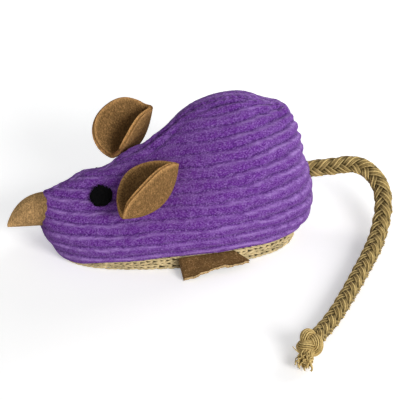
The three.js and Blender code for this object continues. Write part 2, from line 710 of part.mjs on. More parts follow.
const flaps = new THREE.Group();
flaps.add(
  piece('left_ear', earSolid(LEFT, LEFT_EAR_SET), felt, earRoot(LEFT, LEFT_EAR_SET)),
  piece('right_ear', earSolid(RIGHT, RIGHT_EAR_SET), felt, earRoot(RIGHT, RIGHT_EAR_SET)),
  piece('left_foot', footSolid(LEFT), felt, point(FOOT_X, -footHingeY, FOOT_ROOT_Z)),
  piece('right_foot', footSolid(RIGHT), felt, point(FOOT_X, footHingeY, FOOT_ROOT_Z)),
);

const tail = new THREE.Group();
tail.add(
  piece('tail_cord', tailCord(), rope, tailPivot),
  piece('tail_knot', tailKnot(), rope, knotMiddle),
  piece('tail_tuft', tailTuft(), rope, tuftStart),
);

const catnipMouse = new THREE.Group();
catnipMouse.add(body, flaps, tail);

export default catnipMouse;
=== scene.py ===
import math
from dataclasses import dataclass

import bpy
import numpy as np
from bpy.props import FloatProperty, FloatVectorProperty, IntProperty, PointerProperty
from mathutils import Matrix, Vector


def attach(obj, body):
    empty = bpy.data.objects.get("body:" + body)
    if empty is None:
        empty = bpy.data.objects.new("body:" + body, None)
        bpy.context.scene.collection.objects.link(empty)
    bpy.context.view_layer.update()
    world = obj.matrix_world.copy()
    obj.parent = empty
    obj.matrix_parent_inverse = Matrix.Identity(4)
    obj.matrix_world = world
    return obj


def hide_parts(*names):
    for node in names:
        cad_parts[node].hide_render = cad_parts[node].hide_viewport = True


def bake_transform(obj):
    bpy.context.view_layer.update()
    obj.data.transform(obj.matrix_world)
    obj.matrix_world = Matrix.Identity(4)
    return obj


bl_info = {
    "name": "Catnip Mouse",
    "version": (1, 0, 0),
    "blender": (4, 5, 0),
    "location": "View3D > Sidebar > Mouse",
    "description": "Dresses a catnip mouse in corduroy, felt, knitted jute and braided rope",
    "category": "Object",
}

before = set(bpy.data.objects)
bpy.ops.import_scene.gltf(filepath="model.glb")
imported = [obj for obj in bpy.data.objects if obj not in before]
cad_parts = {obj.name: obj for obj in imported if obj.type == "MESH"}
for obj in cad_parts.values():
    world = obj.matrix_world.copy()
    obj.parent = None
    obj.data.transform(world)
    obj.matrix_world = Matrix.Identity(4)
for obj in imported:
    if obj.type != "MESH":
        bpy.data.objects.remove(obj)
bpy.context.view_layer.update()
MM = 0.001

# Photo frame, in pixels
PHOTO_PIXELS = 400
BASE_MIDDLE_PIXEL = (177.5, 231.6)

# Lamps: place and size in metres, and share of the key light's power
LAMPS = [
    ("front_light", (0.32, -0.8, 0.4), 0.4, 1.0),
    ("right_light", (0.8, 0.36, 0.38), 0.45, 0.55),
    ("left_light", (-0.86, 0.3, 0.28), 0.45, 0.2),
]
FLOOR_REACH = 3.0
FLOOR_DROP = -0.0001
FLOOR_PAPER = (0.95, 0.94, 0.925, 1)
FLOOR_GLOW = (0.94, 0.96, 0.98, 1)

# Stuffed body, in millimetres, as in the solids
SNOUT_REACH = 45.4
RUMP_REACH = 45.5
BODY_WIDTH = 50.6
BODY_HEIGHT = 49.6
WIDEST_X = 8.0
FLANK_HEIGHT = 16.0
CROWN_LINE = [
    (-1, 0.44), (-0.84, 0.504), (-0.68, 0.56), (-0.55, 0.58), (-0.41, 0.64), (-0.21, 0.726),
    (-0.06, 0.825), (0.06, 0.92), (0.18, 0.98), (0.47, 1), (0.68, 0.927), (0.82, 0.875),
    (0.9, 0.715), (0.95, 0.5), (1, 0.44),
]
WIDEST_LINE = [(-1, 0.84), (-0.7, 0.6), (-0.4, 0.63), (0, 0.84), (0.4, 1.12), (0.78, 0.92), (1, 0.56)]
ARCH_LINE = [(-1, 1.25), (-0.3, 1.25), (0.1, 1.45), (0.45, 1.7), (0.8, 1.7), (1, 1.4)]
SNOUT_CURVE = (1.5, 2.3)
BASE_FRONT_CURVE = (1.5, 3.2)
BASE_REAR_CURVE = (2.6, 2.9)
RUMP_CURVE = (2.2, 2.35)
WALE_CLIMB = 8.0
WALE_CLIMB_START = -5.0
WALE_CLIMB_REACH = 22.0
FABRIC = 1.4
CLEARANCE = 0.3
CLOTH_STATIONS = 230
CLOTH_ROWS = 156
CHEST_X = -33.0
CHEST_DROP = 2.0

# Knitted base
BASE_WIDTH = 44.8
BASE_THICKNESS = 4.5
BASE_FRONT_SETBACK = 5.4
BASE_REAR_SETBACK = 7.0
BASE_TOP_LINE = [(-1, 0.45), (-0.6, 0.6), (-0.1, 1), (0.5, 1), (1, 0.8)]

# Felt pieces; the eyes, the nose tip and the rear of the feet differ a little from the solids
NOSE_LENGTH = 11.5
NOSE_ROOT = 5.0
NOSE_HEIGHT = 12.2
NOSE_WIDTH = 9.5
NOSE_Z = 9.4
NOSE_RISE = 1.2
NOSE_CURVE = (3.0, 1.3)
NOSE_TIP = 0.985
EYE_X = -27.0
LEFT_EYE_OUT = 7.8
RIGHT_EYE_OUT = 11.2
EYE_HAIRS = 150
EAR_LENGTH = 32.3
EAR_CHORD = 24.3
EAR_BOW = 6.0
EAR_FOLD_RADIUS = 2.6
EAR_LIFT = 2.4

# Set of each ear, as in the solids, and how its felt hangs: middle and half length of its fold, reach and
# taper of the far and the near lobe, how far each lobe leans forward, its angle, and the fold's shift
LEFT_EAR_SET = {
    "x": -8.9, "out": 16.6, "slope": 30.0, "lean": -22.0, "turn": 22.0, "middle": 0.11, "half": 12.35,
    "reach": (14.9, 16.3), "taper": (0.6, 0.73), "skew": (0.04, 0.01),
    "spread": (21.2, 30.6), "shift": -0.15,
}
RIGHT_EAR_SET = {
    "x": -9.6, "out": 13.0, "slope": 24.0, "lean": 14.0, "turn": -39.0, "middle": 0.86, "half": 11.3,
    "reach": (14.6, 16.3), "taper": (0.74, 0.49), "skew": (0.14, 0.09),
    "spread": (19.0, 22.8), "shift": 0.92,
}
FOOT_LENGTH = 23.0
FOOT_HALF_FELT = 0.65
FOOT_X = 6.6
FOOT_FRONT_REACH = 7.0
FOOT_WAIST_X = -1.5
FOOT_WAIST_REACH = 4.8
FOOT_REAR_REACH = 4.0
FOOT_REAR_SLANT = 4.4
FOOT_ROOT_Z = 4.2
FLOOR_GAP = 0.2

# Route of the tail: beyond the rump, to the side, above the floor
TAIL_Z = 18.0
TAIL_INSIDE = 10.0
TAIL_ROUTE = [
    (4.2, 0, TAIL_Z), (7.1, 0, 17.9), (10.4, 0, 17.9), (13.5, 0, 17.9), (16.2, -0.3, 17.4),
    (18.7, -1.2, 16.4), (20.6, -2.7, 15), (21.9, -4.6, 13.6), (22.6, -7, 12), (22.7, -9.6, 10.3),
    (22.2, -12, 8.9), (21.3, -14.8, 7.2), (19.9, -17.7, 5.5), (18.1, -21.1, 4.1), (15.1, -26.6, 3.3),
    (10.9, -33.3, 3.2), (5.9, -40.8, 3.2), (0.2, -49.2, 3.2), (-4.3, -55.6, 3.2), (-8.7, -61.6, 3.2),
    (-12.8, -66.6, 3.2), (-16.7, -71.1, 3.5), (-20.2, -75.4, 4.6),
]
ROPE_TAPER = [(0, 1.0), (0.2, 1.03), (0.35, 1.05), (0.6, 0.95), (1, 0.88)]
ROPE_STEP = 0.45
KNOT_PLACE = (-22.4, -77.6, 5)
KNOT_AXIS = (-0.2, -0.45, 0.87)
KNOT_SCALE = 0.88
KNOT_YARNS = 14
KNOT_BUNDLE = 1.6
TUFT_AIM = (-0.45, -0.85, -0.25)
TUFT_YARNS = 64
TUFT_LENGTHS = (5.2, 7.9)

# Braid: strands that go round each way, how far they rise and sink, the distance from yarn to yarn in
# yarn radii, and how much deeper every second yarn lies
STRANDS_EACH_WAY = 4
BRAID_WAVE = 0.46
YARN_SPACING = 1.95
YARN_SINK = 0.14

# Filling
POUCH_DIAMETER = 26.0
POUCH_THICKNESS = 11.0
POUCH_X = 6.0
POUCH_Z = 24.0

LEFT = -1
RIGHT = 1
PANELS = {LEFT: "left_body_panel", RIGHT: "right_body_panel"}
SECTION_STEPS = 60


# Settings

class MouseBodySettings(bpy.types.PropertyGroup):
    wale_pitch: FloatProperty(
        name="Wale pitch", description="Distance from rib to rib of the corduroy",
        default=4.0 * MM, min=1 * MM, max=8 * MM, subtype="DISTANCE", unit="LENGTH")
    wale_relief: FloatProperty(
        name="Wale relief", description="Height of a rib above its groove",
        default=0.95 * MM, min=0, max=2 * MM, subtype="DISTANCE", unit="LENGTH")
    seam_depth: FloatProperty(
        name="Seam depth", description="Depth of the valley along the back seam",
        default=1.1 * MM, min=0, max=3 * MM, subtype="DISTANCE", unit="LENGTH")
    purple: FloatVectorProperty(
        name="Purple", description="Colour of the pile on the ribs",
        default=(0.148, 0.028, 0.295), subtype="COLOR", min=0, max=1, size=3)
    # Towards the grooves the pile darkens to this colour: partly the ground weave's own colour, partly
    # painted shade.
    groove: FloatVectorProperty(
        name="Groove", description="Colour of the ground between the ribs",
        default=(0.048, 0.008, 0.118), subtype="COLOR", min=0, max=1, size=3)
    # Lavender is also the colour of the painted highlight along the upper side of each rib.
    lavender: FloatVectorProperty(
        name="Lavender", description="Colour of the pile tips",
        default=(0.42, 0.245, 0.63), subtype="COLOR", min=0, max=1, size=3)


class MouseFeltSettings(bpy.types.PropertyGroup):
    thickness: FloatProperty(
        name="Felt", description="Thickness of the felt",
        default=1.4 * MM, min=0.5 * MM, max=3 * MM, subtype="DISTANCE", unit="LENGTH")
    ear_length: FloatProperty(
        name="Ear length", description="Felt oval of an ear from lip to lip, before it is folded",
        default=EAR_LENGTH * MM, min=20 * MM, max=50 * MM, subtype="DISTANCE", unit="LENGTH")
    eye_diameter: FloatProperty(
        name="Eye", description="Diameter of an eye",
        default=6.9 * MM, min=3 * MM, max=12 * MM, subtype="DISTANCE", unit="LENGTH")
    brown: FloatVectorProperty(
        name="Brown", description="Felt of the ears and feet",
        default=(0.245, 0.135, 0.05), subtype="COLOR", min=0, max=1, size=3)
    tan: FloatVectorProperty(
        name="Tan", description="Felt of the nose",
        default=(0.49, 0.295, 0.125), subtype="COLOR", min=0, max=1, size=3)
    cream: FloatVectorProperty(
        name="Cream", description="Cut edge of the feet",
        default=(0.74, 0.53, 0.27), subtype="COLOR", min=0, max=1, size=3)
    black: FloatVectorProperty(
        name="Black", description="Felt of the eyes",
        default=(0.004, 0.004, 0.0043), subtype="COLOR", min=0, max=1, size=3)


class MouseTailSettings(bpy.types.PropertyGroup):
    diameter: FloatProperty(
        name="Rope", description="Diameter of the braided rope",
        default=6.2 * MM, min=2 * MM, max=12 * MM, subtype="DISTANCE", unit="LENGTH")
    lead: FloatProperty(
        name="Lead", description="Length of rope in which a strand goes round once",
        default=19.2 * MM, min=8 * MM, max=40 * MM, subtype="DISTANCE", unit="LENGTH")
    yarn: FloatProperty(
        name="Yarn", description="Diameter of one yarn",
        default=0.56 * MM, min=0.3 * MM, max=2 * MM, subtype="DISTANCE", unit="LENGTH")
    yarns: IntProperty(
        name="Yarns", description="Yarns side by side in a strand", default=5, min=1, max=7)
    straw: FloatVectorProperty(
        name="Straw", description="Light jute fibre",
        default=(0.7, 0.52, 0.215), subtype="COLOR", min=0, max=1, size=3)
    husk: FloatVectorProperty(
        name="Husk", description="Dark jute fibre",
        default=(0.26, 0.165, 0.045), subtype="COLOR", min=0, max=1, size=3)


class MouseBaseSettings(bpy.types.PropertyGroup):
    stitch: FloatProperty(
        name="Stitch", description="Width of a knitted stitch along the rim",
        default=2.1 * MM, min=1 * MM, max=6 * MM, subtype="DISTANCE", unit="LENGTH")
    rows: IntProperty(
        name="Rows", description="Rows of stitches up the rim", default=2, min=1, max=6)
    jute: FloatVectorProperty(
        name="Jute", description="Natural jute of the knitted base",
        default=(0.8, 0.64, 0.35), subtype="COLOR", min=0, max=1, size=3)


class MouseStageSettings(bpy.types.PropertyGroup):
    azimuth: FloatProperty(
        name="Azimuth", description="Camera angle round the mouse",
        default=math.radians(-13), subtype="ANGLE", unit="ROTATION")
    elevation: FloatProperty(
        name="Elevation", description="Camera angle above the floor",
        default=math.radians(33), subtype="ANGLE", unit="ROTATION")
    distance: FloatProperty(
        name="Distance", description="Camera to the middle of the base",
        default=0.7, min=0.2, max=5, subtype="DISTANCE", unit="LENGTH")
    frame_width: FloatProperty(
        name="Frame", description="Width of the view at the middle of the base",
        default=0.1336, min=0.05, max=1, subtype="DISTANCE", unit="LENGTH")
    key_power: FloatProperty(
        name="Key", description="Power of the key light", default=7.0, min=0, max=50, unit="POWER")
    sky_light: FloatProperty(
        name="Sky", description="Strength of the even light from all round", default=0.33, min=0, max=3)


# Meshes

class MeshBag:
    """Gathers vertices, faces and point values in millimetres, and builds one mesh from them."""

    def __init__(self, *names):
        self.places = []
        self.faces = []
        self.values = {name: [] for name in names}
        self.count = 0

    def add(self, places, faces, **values):
        places = np.asarray(places, float).reshape(-1, 3)
        start = self.count
        self.faces.extend([tuple(corner + start for corner in face) for face in faces])
        self.places.append(places)
        for name, rows in self.values.items():
            rows.append(np.broadcast_to(np.asarray(values[name], float).reshape(-1), len(places)))
        self.count += len(places)

    def build(self, name, *materials):
        mesh = bpy.data.meshes.new(name)
        mesh.from_pydata((np.concatenate(self.places) * MM).tolist(), [], self.faces)
        for value, rows in self.values.items():
            attribute = mesh.attributes.new(value, "FLOAT", "POINT")
            attribute.data.foreach_set("value", np.concatenate(rows).astype(np.float32))
        mesh.polygons.foreach_set("use_smooth", [True] * len(mesh.polygons))
        mesh.update()
        for material in materials:
            mesh.materials.append(material)
        piece = bpy.data.objects.new(name, mesh)
        bpy.context.scene.collection.objects.link(piece)
        return piece


def grid_faces(rows, columns, closed=False, flip=False, start=0):
    """Quads over a grid; closed joins the last column to the first."""
    faces = []
    for i in range(rows - 1):
        for j in range(columns if closed else columns - 1):
            k = (j + 1) % columns
            face = (i * columns + j, (i + 1) * columns + j, (i + 1) * columns + k, i * columns + k)
            face = tuple(corner + start for corner in face)
            faces.append(face[::-1] if flip else face)
    return faces


def capped_faces(rows, columns, flip=False):
    """Quads round a row of closed rings, with a lid on each end."""
    lids = [tuple(range(columns)), tuple(range((rows - 1) * columns, rows * columns))[::-1]]
    faces = grid_faces(rows, columns, closed=True, flip=flip)
    return faces + [lid[::-1] if flip else lid for lid in lids]


def dress(piece, node, body):
    """Says which solid a piece replaces and which body it rides on."""
    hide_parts(node)
    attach(piece, body)


def unit(vectors):
    vectors = np.asarray(vectors, float)
    return vectors / np.maximum(np.linalg.norm(vectors, axis=-1, keepdims=True), 1e-9)


def lengths_along(line):
    return np.concatenate([[0.0], np.cumsum(np.linalg.norm(np.diff(line, axis=0), axis=1))])


def resample(line, places):
    """Points at distances along a line."""
    known = lengths_along(line)
    return np.stack([np.interp(places, known, line[:, axis]) for axis in range(3)], 1)


def carried_frames(line):
    """Along, side and top directions, carried along a line without twist."""
    along = unit(np.gradient(line, axis=0))
    helper = np.array([0.0, 0.0, 1.0]) if abs(along[0][2]) < 0.9 else np.array([0.0, 1.0, 0.0])
    side = np.empty_like(line)
    current = unit(np.cross(helper, along[0]))
    for k, direction in enumerate(along):
        current = unit(current - direction * (current @ direction))
        side[k] = current
    return along, side, np.cross(along, side)


def add_tube(bag, line, radius, sides=6, **values):
    """Adds a closed tube round a line; values are one number, or one for each point of the line."""
    line = np.asarray(line, float)
    _, side, top = carried_frames(line)
    turn = np.arange(sides) / sides * 2 * math.pi
    ring = side[:, None] * np.cos(turn)[None, :, None] + top[:, None] * np.sin(turn)[None, :, None]
    radius = np.broadcast_to(np.asarray(radius, float), len(line))
    places = line[:, None] + ring * radius[:, None, None]
    faces = capped_faces(len(line), sides, flip=True)
    spread = {}
    for name, value in values.items():
        value = np.broadcast_to(np.asarray(value, float), len(line))
        spread[name] = np.repeat(value, sides)
    bag.add(places, faces, **spread)


def felt_faces(rows, columns):
    """Faces of a felt sheet: top grid, bottom grid and a cut edge of two rings between them."""
    top = grid_faces(rows, columns)
    bottom = grid_faces(rows, columns, flip=True, start=rows * columns)
    border = [(0, j) for j in range(columns)]
    border += [(i, columns - 1) for i in range(1, rows)]
    border += [(rows - 1, j) for j in range(columns - 2, -1, -1)]
    border += [(i, 0) for i in range(rows - 2, 0, -1)]
    rim = []
    below = rows * columns
    upper = 2 * below
    lower = upper + len(border)
    for k, (i, j) in enumerate(border):
        nxt = (k + 1) % len(border)
        a = i * columns + j
        b = border[nxt][0] * columns + border[nxt][1]
        rim.append((b, a, upper + k, upper + nxt))
        rim.append((upper + nxt, upper + k, lower + k, lower + nxt))
        rim.append((lower + nxt, lower + k, below + a, below + b))
    return top + bottom + rim, border


def add_felt(bag, middle, thickness, border_rim, fade):
    """Adds a felt sheet of a thickness round a grid of points on its middle; its cut edge has rim 1, and its
    top reaches border_rim at the border and fades to 0 inside; a border_rim below 0 paints shade there."""
    rows, columns = middle.shape[:2]
    along = np.gradient(middle, axis=0)
    over = np.gradient(middle, axis=1)
    normal = unit(np.cross(along, over))
    steady = 6
    normal[:steady] = normal[steady]
    normal[-steady:] = normal[-steady - 1]
    faces, border = felt_faces(rows, columns)
    top = middle + normal * thickness / 2
    bottom = middle - normal * thickness / 2
    cut = np.array([middle[i, j] for i, j in border])
    run = np.roll(cut, -1, axis=0) - np.roll(cut, 1, axis=0)
    border_normal = np.array([normal[i, j] for i, j in border])
    out = unit(np.cross(run, border_normal))
    out = unit(sum(np.roll(out, step, axis=0) for step in (-2, -1, 0, 1, 2)))
    edge = cut + out * thickness * 0.35
    rise = border_normal * thickness * 0.3
    places = np.concatenate([top.reshape(-1, 3), bottom.reshape(-1, 3), edge + rise, edge - rise])
    away = np.linalg.norm(middle.reshape(-1, 1, 3) - cut[None], axis=-1).min(1)
    near_edge = border_rim * np.exp(-(away / fade) ** 2)
    rim = np.concatenate([near_edge, np.abs(near_edge), np.ones(2 * len(border))])
    bag.add(places, faces, rim=rim)


# Form of the body

def profile(keys, place):
    """Smooth curve through keys of (place, value)."""
    xs, vs = np.array(keys, float).T
    order = np.arange(len(xs))
    before = np.maximum(order - 1, 0)
    after = np.minimum(order + 1, len(xs) - 1)
    slopes = (vs[after] - vs[before]) / (xs[after] - xs[before])
    place = np.clip(place, xs[0], xs[-1])
    k = np.clip(np.searchsorted(xs, place), 1, len(xs) - 1)
    span = xs[k] - xs[k - 1]
    t = (place - xs[k - 1]) / span
    rise = t * t * (3 - 2 * t)
    bend = slopes[k - 1] * t * (1 - t) ** 2 - slopes[k] * t ** 2 * (1 - t)
    return vs[k - 1] * (1 - rise) + vs[k] * rise + span * bend


@dataclass
class Outline:
    """Plan outline of the body or of its base."""

    front: float
    rear: float
    half: float
    front_curve: tuple
    rear_curve: tuple

    def width(self, x):
        x = np.asarray(x, float)
        ahead = x < WIDEST_X
        reach = np.where(ahead, self.front - WIDEST_X, self.rear - WIDEST_X)
        share = np.clip((x - WIDEST_X) / reach, 0, 1)
        fullness = np.where(ahead, self.front_curve[0], self.rear_curve[0])
        bluntness = np.where(ahead, self.front_curve[1], self.rear_curve[1])
        return self.half * (1 - share ** fullness) ** (1 / bluntness)

    def share(self, x):
        x = np.asarray(x, float)
        return np.where(x < 0, -x / self.front, x / self.rear)

    def stations(self, count):
        """Stations from front to rear, closer together at the ends."""
        even = np.linspace(0, 1, count)
        return self.front + (self.rear - self.front) * (1 - np.cos(even * math.pi)) / 2

    def match(self, x, other):
        x = np.asarray(x, float)
        ahead = x < WIDEST_X
        mine = np.where(ahead, self.front - WIDEST_X, self.rear - WIDEST_X)
        theirs = np.where(ahead, other.front - WIDEST_X, other.rear - WIDEST_X)
        return WIDEST_X + (x - WIDEST_X) * theirs / mine


def wide_outline(inset):
    return Outline(inset - SNOUT_REACH, RUMP_REACH - inset, BODY_WIDTH / 2 - inset, SNOUT_CURVE, RUMP_CURVE)


def seam_outline(inset):
    return Outline(BASE_FRONT_SETBACK + inset - SNOUT_REACH, RUMP_REACH - BASE_REAR_SETBACK - inset,
                   BASE_WIDTH / 2 - inset, BASE_FRONT_CURVE, BASE_REAR_CURVE)


def crown_height(inset, x):
    return BODY_HEIGHT * profile(CROWN_LINE, wide_outline(inset).share(x)) - inset


def widest_height(inset, x):
    return FLANK_HEIGHT * profile(WIDEST_LINE, wide_outline(inset).share(x))


def arch_power(inset, x):
    return profile(ARCH_LINE, wide_outline(inset).share(x))


def base_top(inset, x):
    return BASE_THICKNESS * profile(BASE_TOP_LINE, seam_outline(inset).share(x))


def section_curves(inset, stations):
    """Left half of each cross-section, from the base seam over the flank to the crown."""
    wide = wide_outline(inset)
    seam = seam_outline(inset)
    x = np.asarray(stations, float)[:, None]
    width = wide.width(x)
    seam_x = wide.match(x, seam)
    seam_width = seam.width(seam_x)
    seam_z = base_top(inset, seam_x) + CLEARANCE
    crown_z = crown_height(inset, x)
    widest_z = widest_height(inset, x)
    power = 2 / arch_power(inset, x)
    turn = np.linspace(0, math.pi / 2, SECTION_STEPS + 1)[None]
    out = np.sin(turn)
    rise = np.cos(turn)
    rise[:, -1] = 0
    low = np.stack([
        seam_x + (x - seam_x) * out,
        -(seam_width + (width - seam_width) * out),
        widest_z + (seam_z - widest_z) * rise,
    ], -1)
    high = np.stack([
        np.broadcast_to(x, (len(x), SECTION_STEPS + 1)),
        -width * rise ** power,
        widest_z + (crown_z - widest_z) * out ** power,
    ], -1)
    return np.concatenate([low[:, :-1], high], 1)


def body_stations(count, blunt):
    """Stations from snout to rump, closer together at the ends by the share blunt."""
    even = np.linspace(0, 1, count)
    eased = (1 - np.cos(even * math.pi)) / 2
    return -SNOUT_REACH + (SNOUT_REACH + RUMP_REACH) * (even * (1 - blunt) + eased * blunt)


def wale_place(x, arc):
    """Place of a point across the wales: its distance up from the base seam, less their climb to the
    rump."""
    share = np.clip((x - WALE_CLIMB_START) / (RUMP_REACH - WALE_CLIMB_START), 0, 1)
    place = arc
    for _ in range(5):
        place = arc - WALE_CLIMB * share ** 1.5 * (1 - np.exp(-(place / WALE_CLIMB_REACH) ** 2))
    return place


def cloth_height(x, y):
    power = arch_power(0, x)
    share = np.minimum(1, np.abs(y) / wide_outline(0).width(x))
    low = widest_height(0, x)
    return low + (crown_height(0, x) - low) * (1 - share ** power) ** (1 / power)


def cloth_normal(x, y):
    reach = 0.5
    slope_x = (cloth_height(x + reach, y) - cloth_height(x - reach, y)) / (2 * reach)
    slope_y = (cloth_height(x, y + reach) - cloth_height(x, y - reach)) / (2 * reach)
    return unit(np.stack([-slope_x, -slope_y, np.ones_like(slope_x)], -1))


def on_cloth(x, y, lift):
    """Point on the cloth above its widest line, lifted along the cloth's normal."""
    x = np.asarray(x, float)
    y = np.asarray(y, float)
    return np.stack([x, y, cloth_height(x, y)], -1) + cloth_normal(x, y) * lift


def stuffing_lumps(places):
    """Slow uneven swell of the stuffing under the cloth, about one at most."""
    waves = [((0.29, 0.21, 0.17), 0.4), ((-0.17, 0.33, 0.26), 2.1), ((0.41, -0.12, 0.35), 4.0),
             ((0.12, 0.44, -0.3), 5.2)]
    total = sum(np.sin(places @ np.array(wave) + phase) for wave, phase in waves)
    return total / len(waves)


def fold_relief(x, s, folds):
    """Soft folds of the cloth: each runs between two points of (station, distance from the back seam)."""
    total = np.zeros_like(x)
    for x0, s0, x1, s1, breadth, height in folds:
        run = np.array([x1 - x0, s1 - s0])
        share = np.clip(((x - x0) * run[0] + (s - s0) * run[1]) / (run @ run), 0, 1)
        away = np.hypot(x - x0 - share * run[0], s - s0 - share * run[1])
        total += height * np.exp(-(away / breadth) ** 2) * (0.35 + 0.65 * np.sin(math.pi * share))
    return total


# Folds as station and distance from the seam at both ends, breadth, height
LEFT_FOLDS = [
    (6, 3.4, 18, 2.7, 0.9, -1.2), (16, 2.8, 28, 3.3, 0.9, -1.5), (17, 5.2, 31, 3.6, 1.3, 0.9),
    (22, 6.6, 35, 5.6, 0.9, -1.0), (30, 1.5, 36, 4.2, 1.0, -1.1), (-14, 4.0, 2, 3.4, 0.9, -0.6),
    (-13, 1.8, 1, 1.2, 1.3, 0.9), (-34, 3.5, -24, 2.6, 1.2, 0.5), (33, 9.0, 41, 6.0, 1.3, -0.5),
]
RIGHT_FOLDS = [
    (-20, 2.2, -11, 3.8, 1.4, 1.0), (-13, 1.6, 1, 1.2, 1.4, 1.0), (8, 2.6, 22, 3.2, 1.0, -0.8),
    (24, 3.6, 36, 2.2, 1.0, -0.7), (-36, 3.0, -26, 3.6, 1.2, 0.5),
]


# Materials

class NodeWiring:
    """Adds and links the nodes of one material."""

    def __init__(self, name):
        self.material = bpy.data.materials.new(name)
        self.material.use_nodes = True
        self.tree = self.material.node_tree
        self.shader = self.tree.nodes["Principled BSDF"]
        coordinates = self.tree.nodes.new("ShaderNodeTexCoord")
        self.place = coordinates.outputs["Object"]

    def node(self, kind, **settings):
        made = self.tree.nodes.new(kind)
        for key, value in settings.items():
            setattr(made, key, value)
        return made

    def link(self, output, socket):
        self.tree.links.new(output, socket)

    def value(self, name):
        """Point value of the mesh."""
        return self.node("ShaderNodeAttribute", attribute_name=name).outputs["Fac"]

    def noise(self, scale, detail=2.0, place=None, roughness=0.5):
        texture = self.node("ShaderNodeTexNoise")
        texture.inputs["Scale"].default_value = scale
        texture.inputs["Detail"].default_value = detail
        texture.inputs["Roughness"].default_value = roughness
        self.link(place if place is not None else self.place, texture.inputs["Vector"])
        return texture.outputs["Fac"]

    def stretched(self, scale):
        """The place, scaled unevenly along the axes."""
        mapping = self.node("ShaderNodeMapping")
        mapping.inputs["Scale"].default_value = scale
        self.link(self.place, mapping.inputs["Vector"])
        return mapping.outputs["Vector"]

    def spread(self, factor, low, high, to_low=0.0, to_high=1.0):
        """Stretches a factor's range from low..high to to_low..to_high."""
        ranged = self.node("ShaderNodeMapRange", clamp=True)
        ranged.inputs["From Min"].default_value = low
        ranged.inputs["From Max"].default_value = high
        ranged.inputs["To Min"].default_value = to_low
        ranged.inputs["To Max"].default_value = to_high
        self.link(factor, ranged.inputs["Value"])
        return ranged.outputs["Result"]

    def maths(self, operation, a, b):
        made = self.node("ShaderNodeMath", operation=operation)
        for socket, item in zip(made.inputs, (a, b)):
            if isinstance(item, (int, float)):
                socket.default_value = item
            else:
                self.link(item, socket)
        return made.outputs["Value"]

    def blend(self, factor, a, b):
        """Mix of two colours, each a socket or three numbers."""
        mix = self.node("ShaderNodeMix", data_type="RGBA")
        sockets = [item for item in mix.inputs if item.type == "RGBA"]
        self.link(factor, mix.inputs["Factor"])
        for socket, item in zip(sockets, (a, b)):
            if isinstance(item, bpy.types.NodeSocket):
                self.link(item, socket)
            else:
                socket.default_value = (*item, 1.0)
        return [item for item in mix.outputs if item.type == "RGBA"][0]

    def bump(self, height, strength, distance):
        made = self.node("ShaderNodeBump")
        made.inputs["Strength"].default_value = strength
        made.inputs["Distance"].default_value = distance
        self.link(height, made.inputs["Height"])
        self.link(made.outputs["Normal"], self.shader.inputs["Normal"])

    def finish(self, colour, roughness, sheen, sheen_tint=(1.0, 1.0, 1.0), sheen_roughness=0.4, shine=0.2):
        self.link(colour, self.shader.inputs["Base Color"])
        self.shader.inputs["Roughness"].default_value = roughness
        self.shader.inputs["Specular IOR Level"].default_value = shine
        self.shader.inputs["Sheen Weight"].default_value = sheen
        self.shader.inputs["Sheen Roughness"].default_value = sheen_roughness
        self.shader.inputs["Sheen Tint"].default_value = (*sheen_tint, 1.0)
        return self.material


def shade(colour, factor):
    return tuple(min(1.0, channel * factor) for channel in colour)


def corduroy(settings):
    """Purple pile on ribs, grooves darkened by the ground weave and by painted shade, a painted lavender
    highlight along the upper side of each rib, and a fine speckle.
    """
    wiring = NodeWiring("purple_corduroy")
    rib = wiring.value("rib")
    pile = wiring.noise(1.0, 2, place=wiring.stretched((1700, 2300, 2300)), roughness=0.6)
    coarse = wiring.noise(420, 2)
    streak = wiring.noise(1.0, 3, place=wiring.stretched((130, 900, 900)))
    lavender = tuple(settings.lavender)
    dark = tuple(settings.groove)
    # Darker towards the grooves: partly the ground weave's own colour, partly painted shade.
    ground = wiring.blend(wiring.spread(rib, 0.0, 0.55, 0.25, 1.0), dark, tuple(settings.purple))
    # Painted highlight along the upper side of each rib, broken up by slow streaks.
    streaked_highlight = wiring.maths("MULTIPLY", wiring.value("nap"), wiring.spread(streak, 0.4, 0.6, 0.2, 0.85))
    toned = wiring.blend(wiring.spread(coarse, 0.42, 0.66, 0.0, 0.18), ground, lavender)
    speckled = wiring.blend(wiring.spread(pile, 0.52, 0.68, 0.0, 0.5), toned, lavender)
    shaded = wiring.blend(wiring.spread(pile, 0.34, 0.5, 0.7, 0.0), speckled, dark)
    napped = wiring.blend(streaked_highlight, shaded, lavender)
    wiring.bump(pile, 0.8, 0.0007)
    return wiring.finish(napped, 0.9, 0.15, (0.72, 0.58, 0.95), 0.45)


def felt(name, colour, edge_colour, patchy, fuzz):
    """Matted wool: fibres in two tones, dark patches, pale flecks and a pale cut edge; painted shade where
    rim is below 0."""
    wiring = NodeWiring(name)
    fibres = wiring.noise(1.0, 3, place=wiring.stretched((2100, 2100, 1300)), roughness=0.7)
    mottle = wiring.noise(240, 3)
    base = wiring.blend(wiring.spread(fibres, 0.4, 0.6), shade(colour, 0.6), shade(colour, 1.4))
    mottled = wiring.blend(wiring.spread(mottle, 0.42, 0.62, 0.0, patchy), base, shade(colour, 0.5))
    flecked = wiring.blend(wiring.spread(fibres, 0.6, 0.72, 0.0, 0.6), mottled, edge_colour)
    rim = wiring.value("rim")
    shadowed = wiring.blend(wiring.spread(rim, -1.0, 0.0, 0.85, 0.0), flecked, shade(colour, 0.16))
    hairs = wiring.spread(fibres, 0.36, 0.56, 0.25, 1.0)
    edge = wiring.maths("MULTIPLY", wiring.spread(rim, 0.1, 1.0), hairs)
    edged = wiring.blend(edge, shadowed, edge_colour)
    wiring.bump(fibres, 0.8, 0.0006)
    return wiring.finish(edged, 1.0, fuzz, shade(colour, 2.4), 0.5, 0.05)


